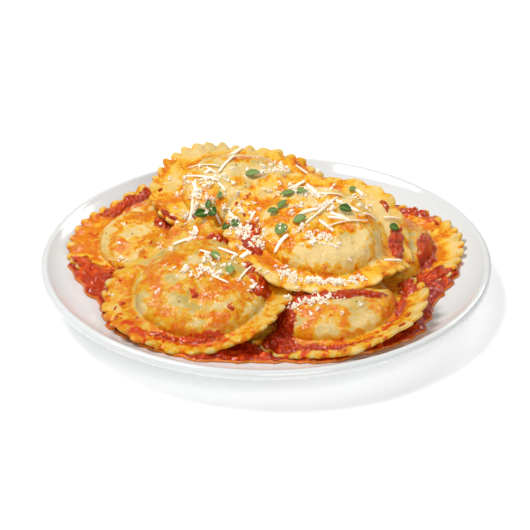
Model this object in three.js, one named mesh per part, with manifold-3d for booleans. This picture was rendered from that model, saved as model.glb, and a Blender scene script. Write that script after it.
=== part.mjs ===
// A plate of six round ravioli in tomato sauce.
// Millimetres, +Z up. The origin is the middle of the plate's foot, on the table.
import * as THREE from 'three';
import { mergeVertices } from 'three/addons/utils/BufferGeometryUtils.js';
import Module from 'manifold-3d';

// ---------- Plate: a shallow coupe plate with a rounded lip ----------
const PLATE_RADIUS = 105;
const PLATE_HEIGHT = 18.6;
const FLOOR_THICKNESS = 3.4;
const FOOT_HEIGHT = 2.2;
const FOOT_OUTER_RADIUS = 61;
const FOOT_INNER_RADIUS = 56;
const FOOT_TAPER = 1;
const FLOOR_RADIUS = 52;
const SLOPE_RADIUS = 100;
const SLOPE_RISE = 9.6;
const SLOPE_POWER = 1.6;
const SLOPE_ROUNDING = 0.35;
const SLOPE_STEPS = 5;
const LIP_WIDTH = 4.4;
const LIP_JOIN = 1;
const LIP_FROM_DEGREES = -60;
const LIP_TO_DEGREES = 144;
const LIP_STEPS = 3;
const PLATE_SEGMENTS = 56;

// ---------- One raviolo, before it is laid down ----------
const RAVIOLO_RADIUS = 43;
const DOME_RADIUS = 28.6;
const DOME_HEIGHT = 11;
const DOME_FULLNESS = 2.6;
const FLANGE_THICKNESS = 2.4;
const EDGE_THICKNESS = 2.0;
const BELLY_DEPTH = 3;
const FLUTES = 38;
const FLUTE_DEPTH = 2;
const FLUTE_LIFT = 0.45;
const DOME_RINGS = [0.38, 0.68, 0.88];
const STIFF_CORE = 0.25;
const BEND_POWER = 1.7;
const BELLY_RING = 0.5;

// ---------- Where each raviolo lies ----------
// at: centre of the sheet where the two layers meet, [east, north, up].
// slope: rise of the sheet per millimetre towards east and north.
// lift: how far the rim bends off that plane at eight headings, from east anticlockwise.
const SERVING = [
  {
    name: 'ravioli_left',
    at: [-50.5, 12.5, 15.5],
    slope: [-0.05, 0.18],
    lift: [-3.5, -2, 7.5, -2.5, -1, 5, 2, 0.5],
    size: 0.99,
  },
  {
    name: 'ravioli_right',
    at: [50.5, 14, 12.5],
    slope: [0.07, 0.1],
    lift: [2, 0, -2, -3, 0, 1, 0.5, 3],
    size: 0.99,
  },
  {
    name: 'ravioli_front_right',
    at: [30.5, -47, 15],
    slope: [0.08, 0],
    lift: [6, 2, 5, -4, -3.5, -0.5, 3.5, 7.5],
    size: 0.97,
  },
  {
    name: 'ravioli_back',
    at: [-11.5, 35.5, 32],
    slope: [-0.06, 0.19],
    lift: [-0.5, -1, -3.5, 1.5, 2, 2.5, 0, -1.5],
    size: 1.01,
  },
  {
    name: 'ravioli_front_left',
    at: [-31, -41.5, 23],
    slope: [0.03, 0.27],
    lift: [3.5, -2.5, 3.5, -7.5, -5, 4.5, 4, 7],
    size: 1.0,
  },
  {
    name: 'ravioli_top',
    at: [24.5, -8, 34],
    slope: [-0.09, 0.27],
    lift: [-9, 1, -3, 1, 0, 5, 6, 6.5],
    size: 1.02,
  },
];

// ---------- Sauce: a pool with an uneven edge, heaped up under the pasta ----------
// Reach of the pool from the middle of the plate at sixteen headings, from east anticlockwise.
const POOL_REACH = [91, 92, 88, 86, 88, 90, 88, 90, 91, 82, 85, 90, 87, 94, 92, 84];
const POOL_RINGS = [0.3, 0.55, 0.75, 0.88, 0.96];
const POOL_DEPTH = 4.2;
const POOL_EDGE_DEPTH = 1.1;
const POOL_SHOULDER = 0.8;
const HEAP_CENTRE = [-4, 32];
const HEAP_RADIUS = 62;
const HEAP_HEIGHT = 24;
const SAUCE_SEGMENTS = 46;
const SAUCE_ROOT = 1.5;

// ---------- How pieces meet ----------
const CLEARANCE = 0.3;
const SAUCE_CLEARANCE = 0.7;
const SKY = 90;
const MERGE_DISTANCE = 1e-3;

// ---------- Colours ----------
const GLAZE_WHITE = new THREE.MeshStandardMaterial({ color: 0xf2f1ee, roughness: 0.12, metalness: 0 });
const COOKED_PASTA = new THREE.MeshStandardMaterial({ color: 0xe9b75a, roughness: 0.38, metalness: 0 });
const TOMATO_SAUCE = new THREE.MeshStandardMaterial({ color: 0x9c2c12, roughness: 0.25, metalness: 0 });

const wasm = await Module();
wasm.setup();

// A 0-to-1 ramp with level ends.
function smoothStep(t) {
  const c = THREE.MathUtils.clamp(t, 0, 1);
  return c * c * (3 - 2 * c);
}

// A closed list of values blended by raised cosines to any heading.
function blendByHeading(values, angle) {
  const step = (2 * Math.PI) / values.length;
  let total = 0;
  for (let i = 0; i < values.length; i += 1) {
    const turn = THREE.MathUtils.euclideanModulo(angle - i * step + Math.PI, 2 * Math.PI) - Math.PI;
    if (Math.abs(turn) < step) {
      total += values[i] * 0.5 * (1 + Math.cos((Math.PI * turn) / step));
    }
  }
  return total;
}

// Joins neighbouring rings of points, from a top pole to a bottom pole, into one closed body.
// A ring has as many points as the one before it, twice as many, or half as many.
function loftRings(topPole, rings, bottomPole) {
  const positions = [topPole.x, topPole.y, topPole.z];
  const starts = [];
  for (const ring of rings) {
    starts.push(positions.length / 3);
    for (const point of ring) {
      positions.push(point.x, point.y, point.z);
    }
  }
  const last = positions.length / 3;
  positions.push(bottomPole.x, bottomPole.y, bottomPole.z);
  const index = [];
  const at = (ring, i) => starts[ring] + (i % rings[ring].length);
  for (let i = 0; i < rings[0].length; i += 1) {
    index.push(0, at(0, i), at(0, i + 1));
  }
  for (let r = 0; r + 1 < rings.length; r += 1) {
    const upper = rings[r].length;
    const lower = rings[r + 1].length;
    for (let i = 0; i < Math.min(upper, lower); i += 1) {
      if (upper === lower) {
        index.push(at(r + 1, i), at(r + 1, i + 1), at(r, i));
        index.push(at(r + 1, i + 1), at(r, i + 1), at(r, i));
      } else if (lower > upper) {
        index.push(at(r + 1, 2 * i), at(r + 1, 2 * i + 1), at(r, i));
        index.push(at(r + 1, 2 * i + 1), at(r, i + 1), at(r, i));
        index.push(at(r + 1, 2 * i + 1), at(r + 1, 2 * i + 2), at(r, i + 1));
      } else {
        index.push(at(r + 1, i), at(r + 1, i + 1), at(r, 2 * i + 1));
        index.push(at(r + 1, i), at(r, 2 * i + 1), at(r, 2 * i));
        index.push(at(r + 1, i + 1), at(r, 2 * i + 2), at(r, 2 * i + 1));
      }
    }
  }
  const end = rings.length - 1;
  for (let i = 0; i < rings[end].length; i += 1) {
    index.push(last, at(end, i + 1), at(end, i));
  }
  const geometry = new THREE.BufferGeometry();
  geometry.setAttribute('position', new THREE.Float32BufferAttribute(positions, 3));
  geometry.setIndex(index);
  return geometry;
}

function toSolid(geometry) {
  const bare = geometry.clone();
  bare.deleteAttribute('normal');
  bare.deleteAttribute('uv');
  const merged = mergeVertices(bare, MERGE_DISTANCE);
  const vertProperties = new Float32Array(merged.attributes.position.array);
  const triVerts = new Uint32Array(merged.index.array);
  return new wasm.Manifold(new wasm.Mesh({ numProp: 3, vertProperties, triVerts }));
}

function toGeometry(solid) {
  const mesh = solid.getMesh();
  const geometry = new THREE.BufferGeometry();
  geometry.setAttribute('position', new THREE.Float32BufferAttribute(mesh.vertProperties, 3));
  geometry.setIndex(new THREE.Uint32BufferAttribute(mesh.triVerts, 1));
  return geometry;
}

// Height of the plate's upper surface at a radius: level floor, then a slope that steepens.
function plateTop(radius) {
  const t = THREE.MathUtils.clamp((radius - FLOOR_RADIUS) / (SLOPE_RADIUS - FLOOR_RADIUS), 0, 1);
  const floor = FOOT_HEIGHT + FLOOR_THICKNESS;
  const blend = SLOPE_ROUNDING * smoothStep(t) + (1 - SLOPE_ROUNDING) * t ** SLOPE_POWER;
  return floor + SLOPE_RISE * blend;
}

function plateProfile() {
  const wallStart = FOOT_OUTER_RADIUS + FOOT_TAPER;
  const points = [new THREE.Vector2(0, FOOT_HEIGHT)];
  points.push(new THREE.Vector2(FOOT_INNER_RADIUS - FOOT_TAPER, FOOT_HEIGHT));
  points.push(new THREE.Vector2(FOOT_INNER_RADIUS, 0));
  points.push(new THREE.Vector2(FOOT_OUTER_RADIUS, 0));
  points.push(new THREE.Vector2(wallStart, FOOT_HEIGHT));
  for (let i = 1; i <= SLOPE_STEPS; i += 1) {
    const radius = THREE.MathUtils.lerp(wallStart, SLOPE_RADIUS + LIP_JOIN, i / SLOPE_STEPS);
    points.push(new THREE.Vector2(radius, plateTop(radius) - FLOOR_THICKNESS));
  }
  // The lip is a rounded roll from the underside, out to the full radius and back to the slope.
  const lipCentre = new THREE.Vector2(PLATE_RADIUS - LIP_WIDTH / 2, PLATE_HEIGHT - LIP_WIDTH / 2);
  for (let i = 0; i <= LIP_STEPS + 1; i += 1) {
    const degrees = THREE.MathUtils.lerp(LIP_FROM_DEGREES, LIP_TO_DEGREES, i / (LIP_STEPS + 1));
    const angle = THREE.MathUtils.degToRad(degrees);
    const x = lipCentre.x + (LIP_WIDTH / 2) * Math.cos(angle);
    const y = lipCentre.y + (LIP_WIDTH / 2) * Math.sin(angle);
    points.push(new THREE.Vector2(x, y));
  }
  for (let i = SLOPE_STEPS; i >= 0; i -= 1) {
    const radius = THREE.MathUtils.lerp(FLOOR_RADIUS, SLOPE_RADIUS - LIP_JOIN, i / SLOPE_STEPS);
    points.push(new THREE.Vector2(radius, plateTop(radius)));
  }
  points.push(new THREE.Vector2(0, FOOT_HEIGHT + FLOOR_THICKNESS));
  return points;
}

function plateGeometry() {
  const geometry = new THREE.LatheGeometry(plateProfile(), PLATE_SEGMENTS);
  geometry.rotateX(Math.PI / 2);
  return geometry;
}

// The sheet's own axes: two along it and one off it, from its slope.
function sheetAxes(slope) {
  const normal = new THREE.Vector3(-slope[0], -slope[1], 1).normalize();
  const east = new THREE.Vector3(1, 0, slope[0]).normalize();
  const north = new THREE.Vector3().crossVectors(normal, east);
  return { east, north, normal };
}

// Places a point of the flat raviolo, given as radius, heading and height, on its bent sheet.
function layDown(place, radius, angle, height) {
  const { east, north, normal } = sheetAxes(place.slope);
  const fullRadius = RAVIOLO_RADIUS * place.size;
  const ramp = Math.max(0, (radius / fullRadius - STIFF_CORE) / (1 - STIFF_CORE)) ** BEND_POWER;
  const offset = height + ramp * blendByHeading(place.lift, angle);
  return new THREE.Vector3(...place.at)
    .addScaledVector(east, radius * Math.cos(angle))
    .addScaledVector(north, radius * Math.sin(angle))
    .addScaledVector(normal, offset);
}

function domeHeight(fraction) {
  return DOME_HEIGHT * Math.sqrt(Math.max(0, 1 - fraction ** DOME_FULLNESS));
}

function bellyHeight(fraction) {
  return -FLANGE_THICKNESS - BELLY_DEPTH * (1 - fraction * fraction);
}

function ringOf(count, pointAt) {
  const ring = [];
  for (let i = 0; i < count; i += 1) {
    ring.push(pointAt((2 * Math.PI * i) / count, i));
  }
  return ring;
}

// The rim is fluted: crests reach out and up, valleys draw in and down.
function rimRing(place, height, grow) {
  return ringOf(2 * FLUTES, (angle, i) => {
    const side = i % 2 === 0 ? 1 : -1;
    const radius = RAVIOLO_RADIUS * place.size + side * (FLUTE_DEPTH / 2) + grow;
    return layDown(place, radius, angle, height + side * FLUTE_LIFT);
  });
}

// A whole raviolo: a filled dome inside a flat fluted flange, with a shallow belly below.
// grow swells it on every side, for cutting its bed into what lies under or over it.
function ravioloGeometry(place, grow = 0) {
  const dome = DOME_RADIUS * place.size;
  const rings = DOME_RINGS.map((fraction) => {
    const height = domeHeight(fraction) + grow;
    return ringOf(FLUTES, (angle) => layDown(place, dome * fraction, angle, height));
  });
  rings.push(ringOf(FLUTES, (angle) => layDown(place, dome + grow, angle, grow)));
  rings.push(rimRing(place, grow - FLUTE_LIFT, grow));
  rings.push(rimRing(place, -EDGE_THICKNESS - grow, grow));
  rings.push(ringOf(FLUTES, (angle) => layDown(place, dome, angle, bellyHeight(1) - grow)));
  const belly = bellyHeight(BELLY_RING) - grow;
  rings.push(ringOf(FLUTES, (angle) => layDown(place, dome * BELLY_RING, angle, belly)));
  const top = layDown(place, 0, 0, DOME_HEIGHT + grow);
  const bottom = layDown(place, 0, 0, bellyHeight(0) - grow);
  return loftRings(top, rings, bottom);
}

// Everything above a raviolo's underside, so that sauce fills only what is below it.
function skyOverRaviolo(place) {
  const dome = DOME_RADIUS * place.size;
  const reach = RAVIOLO_RADIUS * place.size + FLUTE_DEPTH / 2 + SAUCE_CLEARANCE;
  const drop = -EDGE_THICKNESS - FLUTE_LIFT - SAUCE_CLEARANCE;
  const raise = (point) => new THREE.Vector3(point.x, point.y, SKY);
  const rim = ringOf(FLUTES, (angle) => layDown(place, reach, angle, drop));
  const rings = [rim.map(raise), rim];
  for (const fraction of [1, BELLY_RING]) {
    const height = bellyHeight(fraction) - SAUCE_CLEARANCE;
    rings.push(ringOf(FLUTES, (angle) => layDown(place, dome * fraction, angle, height)));
  }
  const bottom = layDown(place, 0, 0, bellyHeight(0) - SAUCE_CLEARANCE);
  return loftRings(raise(bottom), rings, bottom);
}

// Depth of sauce over the plate: a pool that thins to its edge, and a heap towards the back.
function sauceDepth(x, y, fraction) {
  const inward = smoothStep((1 - fraction) / (1 - POOL_SHOULDER));
  const pool = THREE.MathUtils.lerp(POOL_EDGE_DEPTH, POOL_DEPTH, inward);
  const away = Math.hypot(x - HEAP_CENTRE[0], y - HEAP_CENTRE[1]) / HEAP_RADIUS;
  return pool + HEAP_HEIGHT * smoothStep(1 - away);
}

// A point of the sauce at a heading, at a fraction of the pool's reach, on its surface or at its root.
function saucePoint(angle, fraction, onSurface) {
  const radius = fraction * blendByHeading(POOL_REACH, angle);
  const x = radius * Math.cos(angle);
  const y = radius * Math.sin(angle);
  const above = onSurface ? sauceDepth(x, y, fraction) : -SAUCE_ROOT;
  return new THREE.Vector3(x, y, plateTop(radius) + above);
}

function heapGeometry() {
  const fractions = [...POOL_RINGS, 1];
  const ringAt = (fraction, onSurface) =>
    ringOf(SAUCE_SEGMENTS, (angle) => saucePoint(angle, fraction, onSurface));
  const surface = fractions.map((fraction) => ringAt(fraction, true));
  const root = fractions.reverse().map((fraction) => ringAt(fraction, false));
  return loftRings(saucePoint(0, 0, true), [...surface, ...root], saucePoint(0, 0, false));
}

// ---------- Lay everything down, from the plate up ----------
const plateSolid = toSolid(plateGeometry());
const plateBed = plateSolid.translate([0, 0, CLEARANCE]);
const laid = [];
for (const place of SERVING) {
  let solid = toSolid(ravioloGeometry(place)).subtract(plateBed);
  for (const below of laid) {
    solid = solid.subtract(below.bed);
  }
  laid.push({ place, solid, bed: toSolid(ravioloGeometry(place, CLEARANCE)) });
}
let sauceSolid = toSolid(heapGeometry()).subtract(plateBed);
for (const place of SERVING) {
  sauceSolid = sauceSolid.subtract(toSolid(skyOverRaviolo(place)));
}

function namedMesh(name, geometry, material) {
  const mesh = new THREE.Mesh(geometry, material);
  mesh.name = name;
  return mesh;
}

const group = new THREE.Group();
group.add(namedMesh('plate', plateGeometry(), GLAZE_WHITE));
group.add(namedMesh('sauce', toGeometry(sauceSolid), TOMATO_SAUCE));
for (const { place, solid } of laid) {
  group.add(namedMesh(place.name, toGeometry(solid), COOKED_PASTA));
}

export default group;
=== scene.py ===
"""A plate of six round ravioli in tomato sauce, with cheese, thyme and pepper.

Shapes are worked out in millimetres with numpy and written to the meshes in metres. Every raviolo lies
on a bent sheet, and everything that lies on the food is placed in the sheet's own two directions.
"""
from __future__ import annotations

import logging
import math
from collections.abc import Callable
from dataclasses import dataclass, field
from enum import Enum
from typing import Union

import bpy
import numpy as np
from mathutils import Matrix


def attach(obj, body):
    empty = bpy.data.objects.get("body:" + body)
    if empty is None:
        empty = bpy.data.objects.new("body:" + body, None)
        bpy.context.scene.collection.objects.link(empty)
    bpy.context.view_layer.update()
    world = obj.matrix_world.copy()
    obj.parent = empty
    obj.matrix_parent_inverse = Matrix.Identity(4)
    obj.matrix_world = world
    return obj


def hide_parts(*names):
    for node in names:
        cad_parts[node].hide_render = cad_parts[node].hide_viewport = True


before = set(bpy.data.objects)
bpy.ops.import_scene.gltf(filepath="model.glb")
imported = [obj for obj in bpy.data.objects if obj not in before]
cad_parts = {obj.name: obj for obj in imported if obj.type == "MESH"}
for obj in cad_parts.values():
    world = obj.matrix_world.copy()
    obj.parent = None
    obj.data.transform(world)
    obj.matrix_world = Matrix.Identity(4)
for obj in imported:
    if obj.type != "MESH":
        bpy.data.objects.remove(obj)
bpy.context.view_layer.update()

MM = 0.001
TAU = 2 * math.pi
Array = np.ndarray
Colour = tuple[float, float, float]
Feed = Union[bpy.types.NodeSocket, float, Colour]
log = logging.getLogger("ravioli")


class Slot(Enum):
    """Names of the material slots."""

    PLATE = "plate"
    PASTA = "pasta"
    SAUCE = "sauce"
    CHEESE = "cheese"
    HERB = "herb"
    PEPPER = "pepper"


# ---------------------------------------------------------------- numbers and noise


def ramp(low: float, high: float, value: Array) -> Array:
    """Rise smoothly from 0 at low to 1 at high, as t * t * (3 - 2 * t).

    Args:
        low: Value where the rise starts.
        high: Value where the rise ends; it may be below low for a fall.
        value: Values to map.

    Returns:
        The ramp at each value.
    """
    t = np.clip((value - low) / (high - low), 0, 1)
    return t * t * (3 - 2 * t)


def blend_by_heading(values: tuple[float, ...], angle: Array) -> Array:
    """Blend a closed list of values to any heading with raised cosines.

    Args:
        values: Values at equally spaced headings, from east anticlockwise.
        angle: Headings in radians.

    Returns:
        The blended value at each heading.
    """
    step = TAU / len(values)
    total = np.zeros_like(angle)
    for i, value in enumerate(values):
        turn = np.abs((angle - i * step + math.pi) % TAU - math.pi)
        total += value * np.where(turn < step, 0.5 * (1 + np.cos(math.pi * turn / step)), 0)
    return total


class Ripple:
    """Smooth random relief over a plane: a sum of cosine waves in random directions."""

    def __init__(self, seed: int, size: float, waves: int = 14) -> None:
        """Draw the waves.

        Args:
            seed: Seed of the random draws.
            size: Typical wavelength in millimetres.
            waves: Number of waves that are added.
        """
        rng = np.random.default_rng(seed)
        heading = rng.uniform(0, TAU, waves)
        number = TAU / size * rng.uniform(0.55, 1.6, waves)
        self.east = number * np.cos(heading)
        self.north = number * np.sin(heading)
        self.phase = rng.uniform(0, TAU, waves)

    def __call__(self, x: Array, y: Array) -> Array:
        """Return the relief at points of the plane, mostly between -2 and 2.

        Args:
            x: Plan positions east.
            y: Plan positions north.

        Returns:
            The relief at each point.
        """
        total = np.zeros(np.broadcast(x, y).shape)
        for east, north, phase in zip(self.east, self.north, self.phase):
            total += np.cos(east * x + north * y + phase)
        return total / math.sqrt(len(self.phase) / 2)


@dataclass(frozen=True)
class Blotch:
    """Soft blotches: a coarse ripple and a finer one, read at points that two more ripples push about."""

    seed: int
    size: float
    stir: float = 0.14

    def __call__(self, x: Array, y: Array) -> Array:
        """Return the blotch strength at points of the plane, mostly between -2 and 2.

        Args:
            x: Plan positions east.
            y: Plan positions north.

        Returns:
            The strength at each point.
        """
        push_x = Ripple(self.seed + 1, self.size * 0.8)(x, y) * self.size * self.stir
        push_y = Ripple(self.seed + 2, self.size * 0.8)(x, y) * self.size * self.stir
        coarse = Ripple(self.seed, self.size)(x + push_x, y + push_y)
        fine = Ripple(self.seed + 3, self.size * 0.42)(x + push_x, y + push_y)
        return 0.8 * coarse + 0.45 * fine


# ---------------------------------------------------------------- meshes


def grid_quads(rows: int, columns: int, closed: bool) -> Array:
    """Index the quads of a grid of points stored row by row.

    Args:
        rows: Number of rows.
        columns: Points in a row.
        closed: Whether each row closes on itself.

    Returns:
        An array of shape (quads, 4).
    """
    row = np.arange(rows - 1)[:, None]
    column = np.arange(columns if closed else columns - 1)[None, :]
    after = (column + 1) % columns
    corners = [row * columns + column, row * columns + after]
    corners += [(row + 1) * columns + after, (row + 1) * columns + column]
    return np.stack([np.broadcast_to(c, (rows - 1, column.shape[1])) for c in corners], -1).reshape(-1, 4)


@dataclass
class Shell:
    """Points in millimetres, faces of three or four corners, and named masks on the points."""

    points: Array
    faces: list[Array]
    masks: dict[str, Array] = field(default_factory=dict)

    def signed_volume(self) -> float:
        """Return the enclosed volume, negative where the faces point inwards.

        Returns:
            The volume in cubic millimetres.
        """
        total = 0.0
        for block in self.faces:
            first = self.points[block[:, 0]]
            for k in range(1, block.shape[1] - 1):
                cross = np.cross(self.points[block[:, k]], self.points[block[:, k + 1]])
                total += float(np.einsum("ij,ij->", first, cross)) / 6
        return total

    def facing_out(self) -> "Shell":
        """Return the shell with its faces turned outwards.

        Returns:
            The shell itself.
        """
        if self.signed_volume() < 0:
            self.faces = [block[:, ::-1] for block in self.faces]
        return self

    def to_object(self, name: str, slot: Slot, material: bpy.types.Material) -> bpy.types.Object:
        """Write the shell into a new smooth-shaded object that rides on the root body.

        Args:
            name: Name of the piece.
            slot: Material slot of the piece; not used.
            material: Finish of the piece.

        Returns:
            The new object, with its place in its mesh.
        """
        mesh = bpy.data.meshes.new(name)
        corners = np.concatenate([block.ravel() for block in self.faces]).astype(np.int32)
        sizes = np.concatenate([np.full(len(block), block.shape[1]) for block in self.faces])
        starts = np.concatenate([[0], np.cumsum(sizes)[:-1]])
        mesh.vertices.add(len(self.points))
        mesh.vertices.foreach_set("co", (self.points * MM).astype(np.float32).ravel())
        mesh.loops.add(len(corners))
        mesh.loops.foreach_set("vertex_index", corners)
        mesh.polygons.add(len(sizes))
        mesh.polygons.foreach_set("loop_start", starts.astype(np.int32))
        mesh.polygons.foreach_set("loop_total", sizes.astype(np.int32))
        for mask, values in self.masks.items():
            layer = mesh.attributes.new(mask, "FLOAT_COLOR", "POINT")
            layer.data.foreach_set("color", values.astype(np.float32).ravel())
        mesh.update(calc_edges=True)
        mesh.validate()
        mesh.shade_smooth()
        mesh.materials.append(material)
        piece = bpy.data.objects.new(name, mesh)
        bpy.context.scene.collection.objects.link(piece)
        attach(piece, "root")
        triangles = int((sizes - 2).sum())
        log.info("%s: %d triangles", name, triangles)
        return piece


def mask_colour(*channels: Array) -> Array:
    """Pack up to three masks into one colour attribute with full alpha.

    Args:
        *channels: One to three masks of one shape.

    Returns:
        Colours of that shape, with four channels.
    """
    blank = np.zeros_like(channels[0], dtype=float)
    filled = [*channels, blank, blank][:3]
    return np.stack([np.clip(c, 0, 1) for c in filled] + [np.ones_like(blank)], -1)


def lofted(rings: Array, masks: dict[str, Array]) -> Shell:
    """Close a stack of rings into one body, with the first and the last ring drawn into poles.

    Args:
        rings: Points of shape (rings, points in a ring, 3).
        masks: Colour masks of shape (rings, points in a ring, 4).

    Returns:
        The closed shell, with its faces pointing out.
    """
    count, around = rings.shape[:2]
    body = rings[1:-1].reshape(-1, 3)
    top, bottom = len(body), len(body) + 1
    points = np.concatenate([body, rings[:1].mean(1), rings[-1:].mean(1)])
    ring = np.arange(around)
    after = (ring + 1) % around
    last = (count - 3) * around
    fans = [
        np.stack([np.full(around, top), after, ring], -1),
        np.stack([np.full(around, bottom), last + ring, last + after], -1),
    ]
    packed = {
        name: np.concatenate([m[1:-1].reshape(-1, 4), m[:1].mean(1), m[-1:].mean(1)])
        for name, m in masks.items()
    }
    return Shell(points, [grid_quads(count - 2, around, True), *fans], packed).facing_out()


def closed_slabs(top: Array, bottom: Array) -> Shell:
    """Close many thin slabs at once, each from a grid of top points and a grid of bottom points.

    Args:
        top: Points of shape (slabs, rows, columns, 3).
        bottom: Points of the same shape.

    Returns:
        One shell that holds all the slabs.
    """
    slabs, rows, columns = top.shape[:3]
    each = rows * columns
    upper = grid_quads(rows, columns, False)
    lower = upper[:, ::-1] + each
    index = np.arange(each).reshape(rows, columns)
    loop = np.concatenate([index[0, :-1], index[:-1, -1], index[-1, :0:-1], index[:0:-1, 0]])
    after = np.roll(loop, -1)
    wall = np.stack([after, loop, loop + each, after + each], -1)
    one = np.concatenate([upper, lower, wall])
    faces = (one[None] + (2 * each * np.arange(slabs))[:, None, None]).reshape(-1, 4)
    points = np.stack([top.reshape(slabs, each, 3), bottom.reshape(slabs, each, 3)], 1).reshape(-1, 3)
    return Shell(points, [faces]).facing_out()


# ---------------------------------------------------------------- the plate


@dataclass(frozen=True)
class PlateForm:
    """Sizes of the shallow coupe plate, in millimetres, and its upper surface.

    Attributes:
        lip_turn: Headings where the lip's rounding starts and ends, in degrees.
        hollow: Control point of the bend into the lip, as shares of lip_bend out and up.
        under_radius: Radius where the underside starts.
        knee: Control point of the curve from the lip to the underside.
    """

    radius: float = 105
    height: float = 18.6
    wall: float = 3.4
    foot_height: float = 2.2
    foot_outer: float = 61
    foot_inner: float = 56
    floor_radius: float = 52
    slope_radius: float = 100
    slope_rise: float = 9.6
    slope_power: float = 1.6
    slope_rounding: float = 0.35
    lip_width: float = 4.4
    lip_bend: float = 9
    lip_turn: tuple[float, float] = (125, -62)
    hollow: tuple[float, float] = (0.72, 0.2)
    under_radius: float = 96
    knee: tuple[float, float] = (98.1, 11.4)
    around: int = 540

    def top(self, radius: Array) -> Array:
        """Return the height of the upper surface: a level floor, then a slope that steepens.

        Args:
            radius: Distances from the plate's axis.

        Returns:
            Heights in millimetres.
        """
        t = np.clip((radius - self.floor_radius) / (self.slope_radius - self.floor_radius), 0, 1)
        blend = self.slope_rounding * t * t * (3 - 2 * t) + (1 - self.slope_rounding) * t**self.slope_power
        return self.foot_height + self.wall + self.slope_rise * blend

    def profile(self) -> Array:
        """Return the section from the top centre, over the lip and the foot, to the bottom centre.

        Returns:
            Points of radius and height, of shape (points, 2).
        """
        inner = np.linspace(0, self.slope_radius - self.lip_bend, 46)
        over = np.stack([inner, self.top(inner)], -1)
        centre = np.array([self.radius - self.lip_width / 2, self.height - self.lip_width / 2])
        turn = np.radians(np.linspace(*self.lip_turn, 20))
        lip = centre + self.lip_width / 2 * np.stack([np.cos(turn), np.sin(turn)], -1)
        start = over[-1]
        bend = np.linspace(0, 1, 14)[1:-1, None]
        hollow = start + np.array(self.hollow) * self.lip_bend
        join = (1 - bend) ** 2 * start + 2 * bend * (1 - bend) * hollow + bend**2 * lip[0]
        under = np.linspace(self.under_radius, self.foot_outer + 2.2, 22)
        below = np.stack([under, self.top(under) - self.wall], -1)
        knee = (1 - bend) ** 2 * lip[-1] + 2 * bend * (1 - bend) * np.array(self.knee) + bend**2 * below[0]
        foot = np.array([
            [self.foot_outer + 1.0, self.foot_height],
            [self.foot_outer + 0.5, 0.7],
            [self.foot_outer - 0.3, 0.1],
            [self.foot_outer - 1.0, 0.0],
            [self.foot_inner + 1.0, 0.0],
            [self.foot_inner + 0.3, 0.1],
            [self.foot_inner - 0.4, 0.7],
            [self.foot_inner - 1.2, self.foot_height],
            [self.foot_inner - 8.0, self.foot_height],
            [0, self.foot_height],
        ])
        return np.concatenate([over, join, lip, knee, below, foot])

    def shell(self) -> Shell:
        """Return the section turned round the axis.

        Returns:
            The closed plate.
        """
        section = self.profile()
        angle = np.linspace(0, TAU, self.around, endpoint=False)
        rings = np.stack([
            section[:, :1] * np.cos(angle),
            section[:, :1] * np.sin(angle),
            np.broadcast_to(section[:, 1:], (len(section), self.around)),
        ], -1)
        return lofted(rings, {})


# ---------------------------------------------------------------- a raviolo and its sheet


@dataclass(frozen=True)
class BentSheet:
    """The surface where a raviolo's two layers meet: a sloping plane whose rim bends up and down.

    Attributes:
        at: Centre in millimetres.
        slope: Rise per millimetre towards east and towards north.
        lift: Bend of the rim off the plane at eight headings, in millimetres.
        radius: Radius where the bend reaches those values.
        stiff: Fraction of the radius that stays flat.
        power: How late the bend sets in.
    """

    at: tuple[float, float, float]
    slope: tuple[float, float]
    lift: tuple[float, ...]
    radius: float
    stiff: float = 0.25
    power: float = 1.7

    def axes(self) -> Array:
        """Return the sheet's east, north and normal directions as rows.

        Returns:
            Three unit vectors, of shape (3, 3).
        """
        normal = np.array([-self.slope[0], -self.slope[1], 1.0])
        normal /= np.linalg.norm(normal)
        east = np.array([1.0, 0.0, self.slope[0]])
        east /= np.linalg.norm(east)
        return np.stack([east, np.cross(normal, east), normal])

    def bend(self, u: Array, v: Array) -> Array:
        """Return the distance off the plane: the lift at the heading times a late ramp of the radius."""
        out = np.maximum(0, (np.hypot(u, v) / self.radius - self.stiff) / (1 - self.stiff)) ** self.power
        return out * blend_by_heading(self.lift, np.arctan2(v, u))

    def lay(self, u: Array, v: Array, height: Array) -> Array:
        """Place points of the flat raviolo on the sheet.

        Args:
            u: Distances east along the sheet.
            v: Distances north along the sheet.
            height: Heights off the sheet.

        Returns:
            Points in the frame, in millimetres.
        """
        off = height + self.bend(u, v)
        return np.array(self.at) + np.stack([u, v, off], -1) @ self.axes()

    def find(
        self, x: Array, y: Array, height_at: Callable[[Array, Array], Array]
    ) -> tuple[Array, Array]:
        """Find the sheet position of the surface point above plan positions, by a few corrections.

        Args:
            x: Plan positions east.
            y: Plan positions north.
            height_at: Function of u and v that gives the surface's height off the sheet.

        Returns:
            The positions u and v.
        """
        axes = self.axes()
        inverse = np.linalg.inv(axes[:2, :2].T)
        u, v = np.zeros_like(x), np.zeros_like(x)
        for _ in range(5):
            off = height_at(u, v) + self.bend(u, v)
            dx = x - self.at[0] - off * axes[2, 0]
            dy = y - self.at[1] - off * axes[2, 1]
            u = inverse[0, 0] * dx + inverse[0, 1] * dy
            v = inverse[1, 0] * dx + inverse[1, 1] * dy
        return u, v


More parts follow.
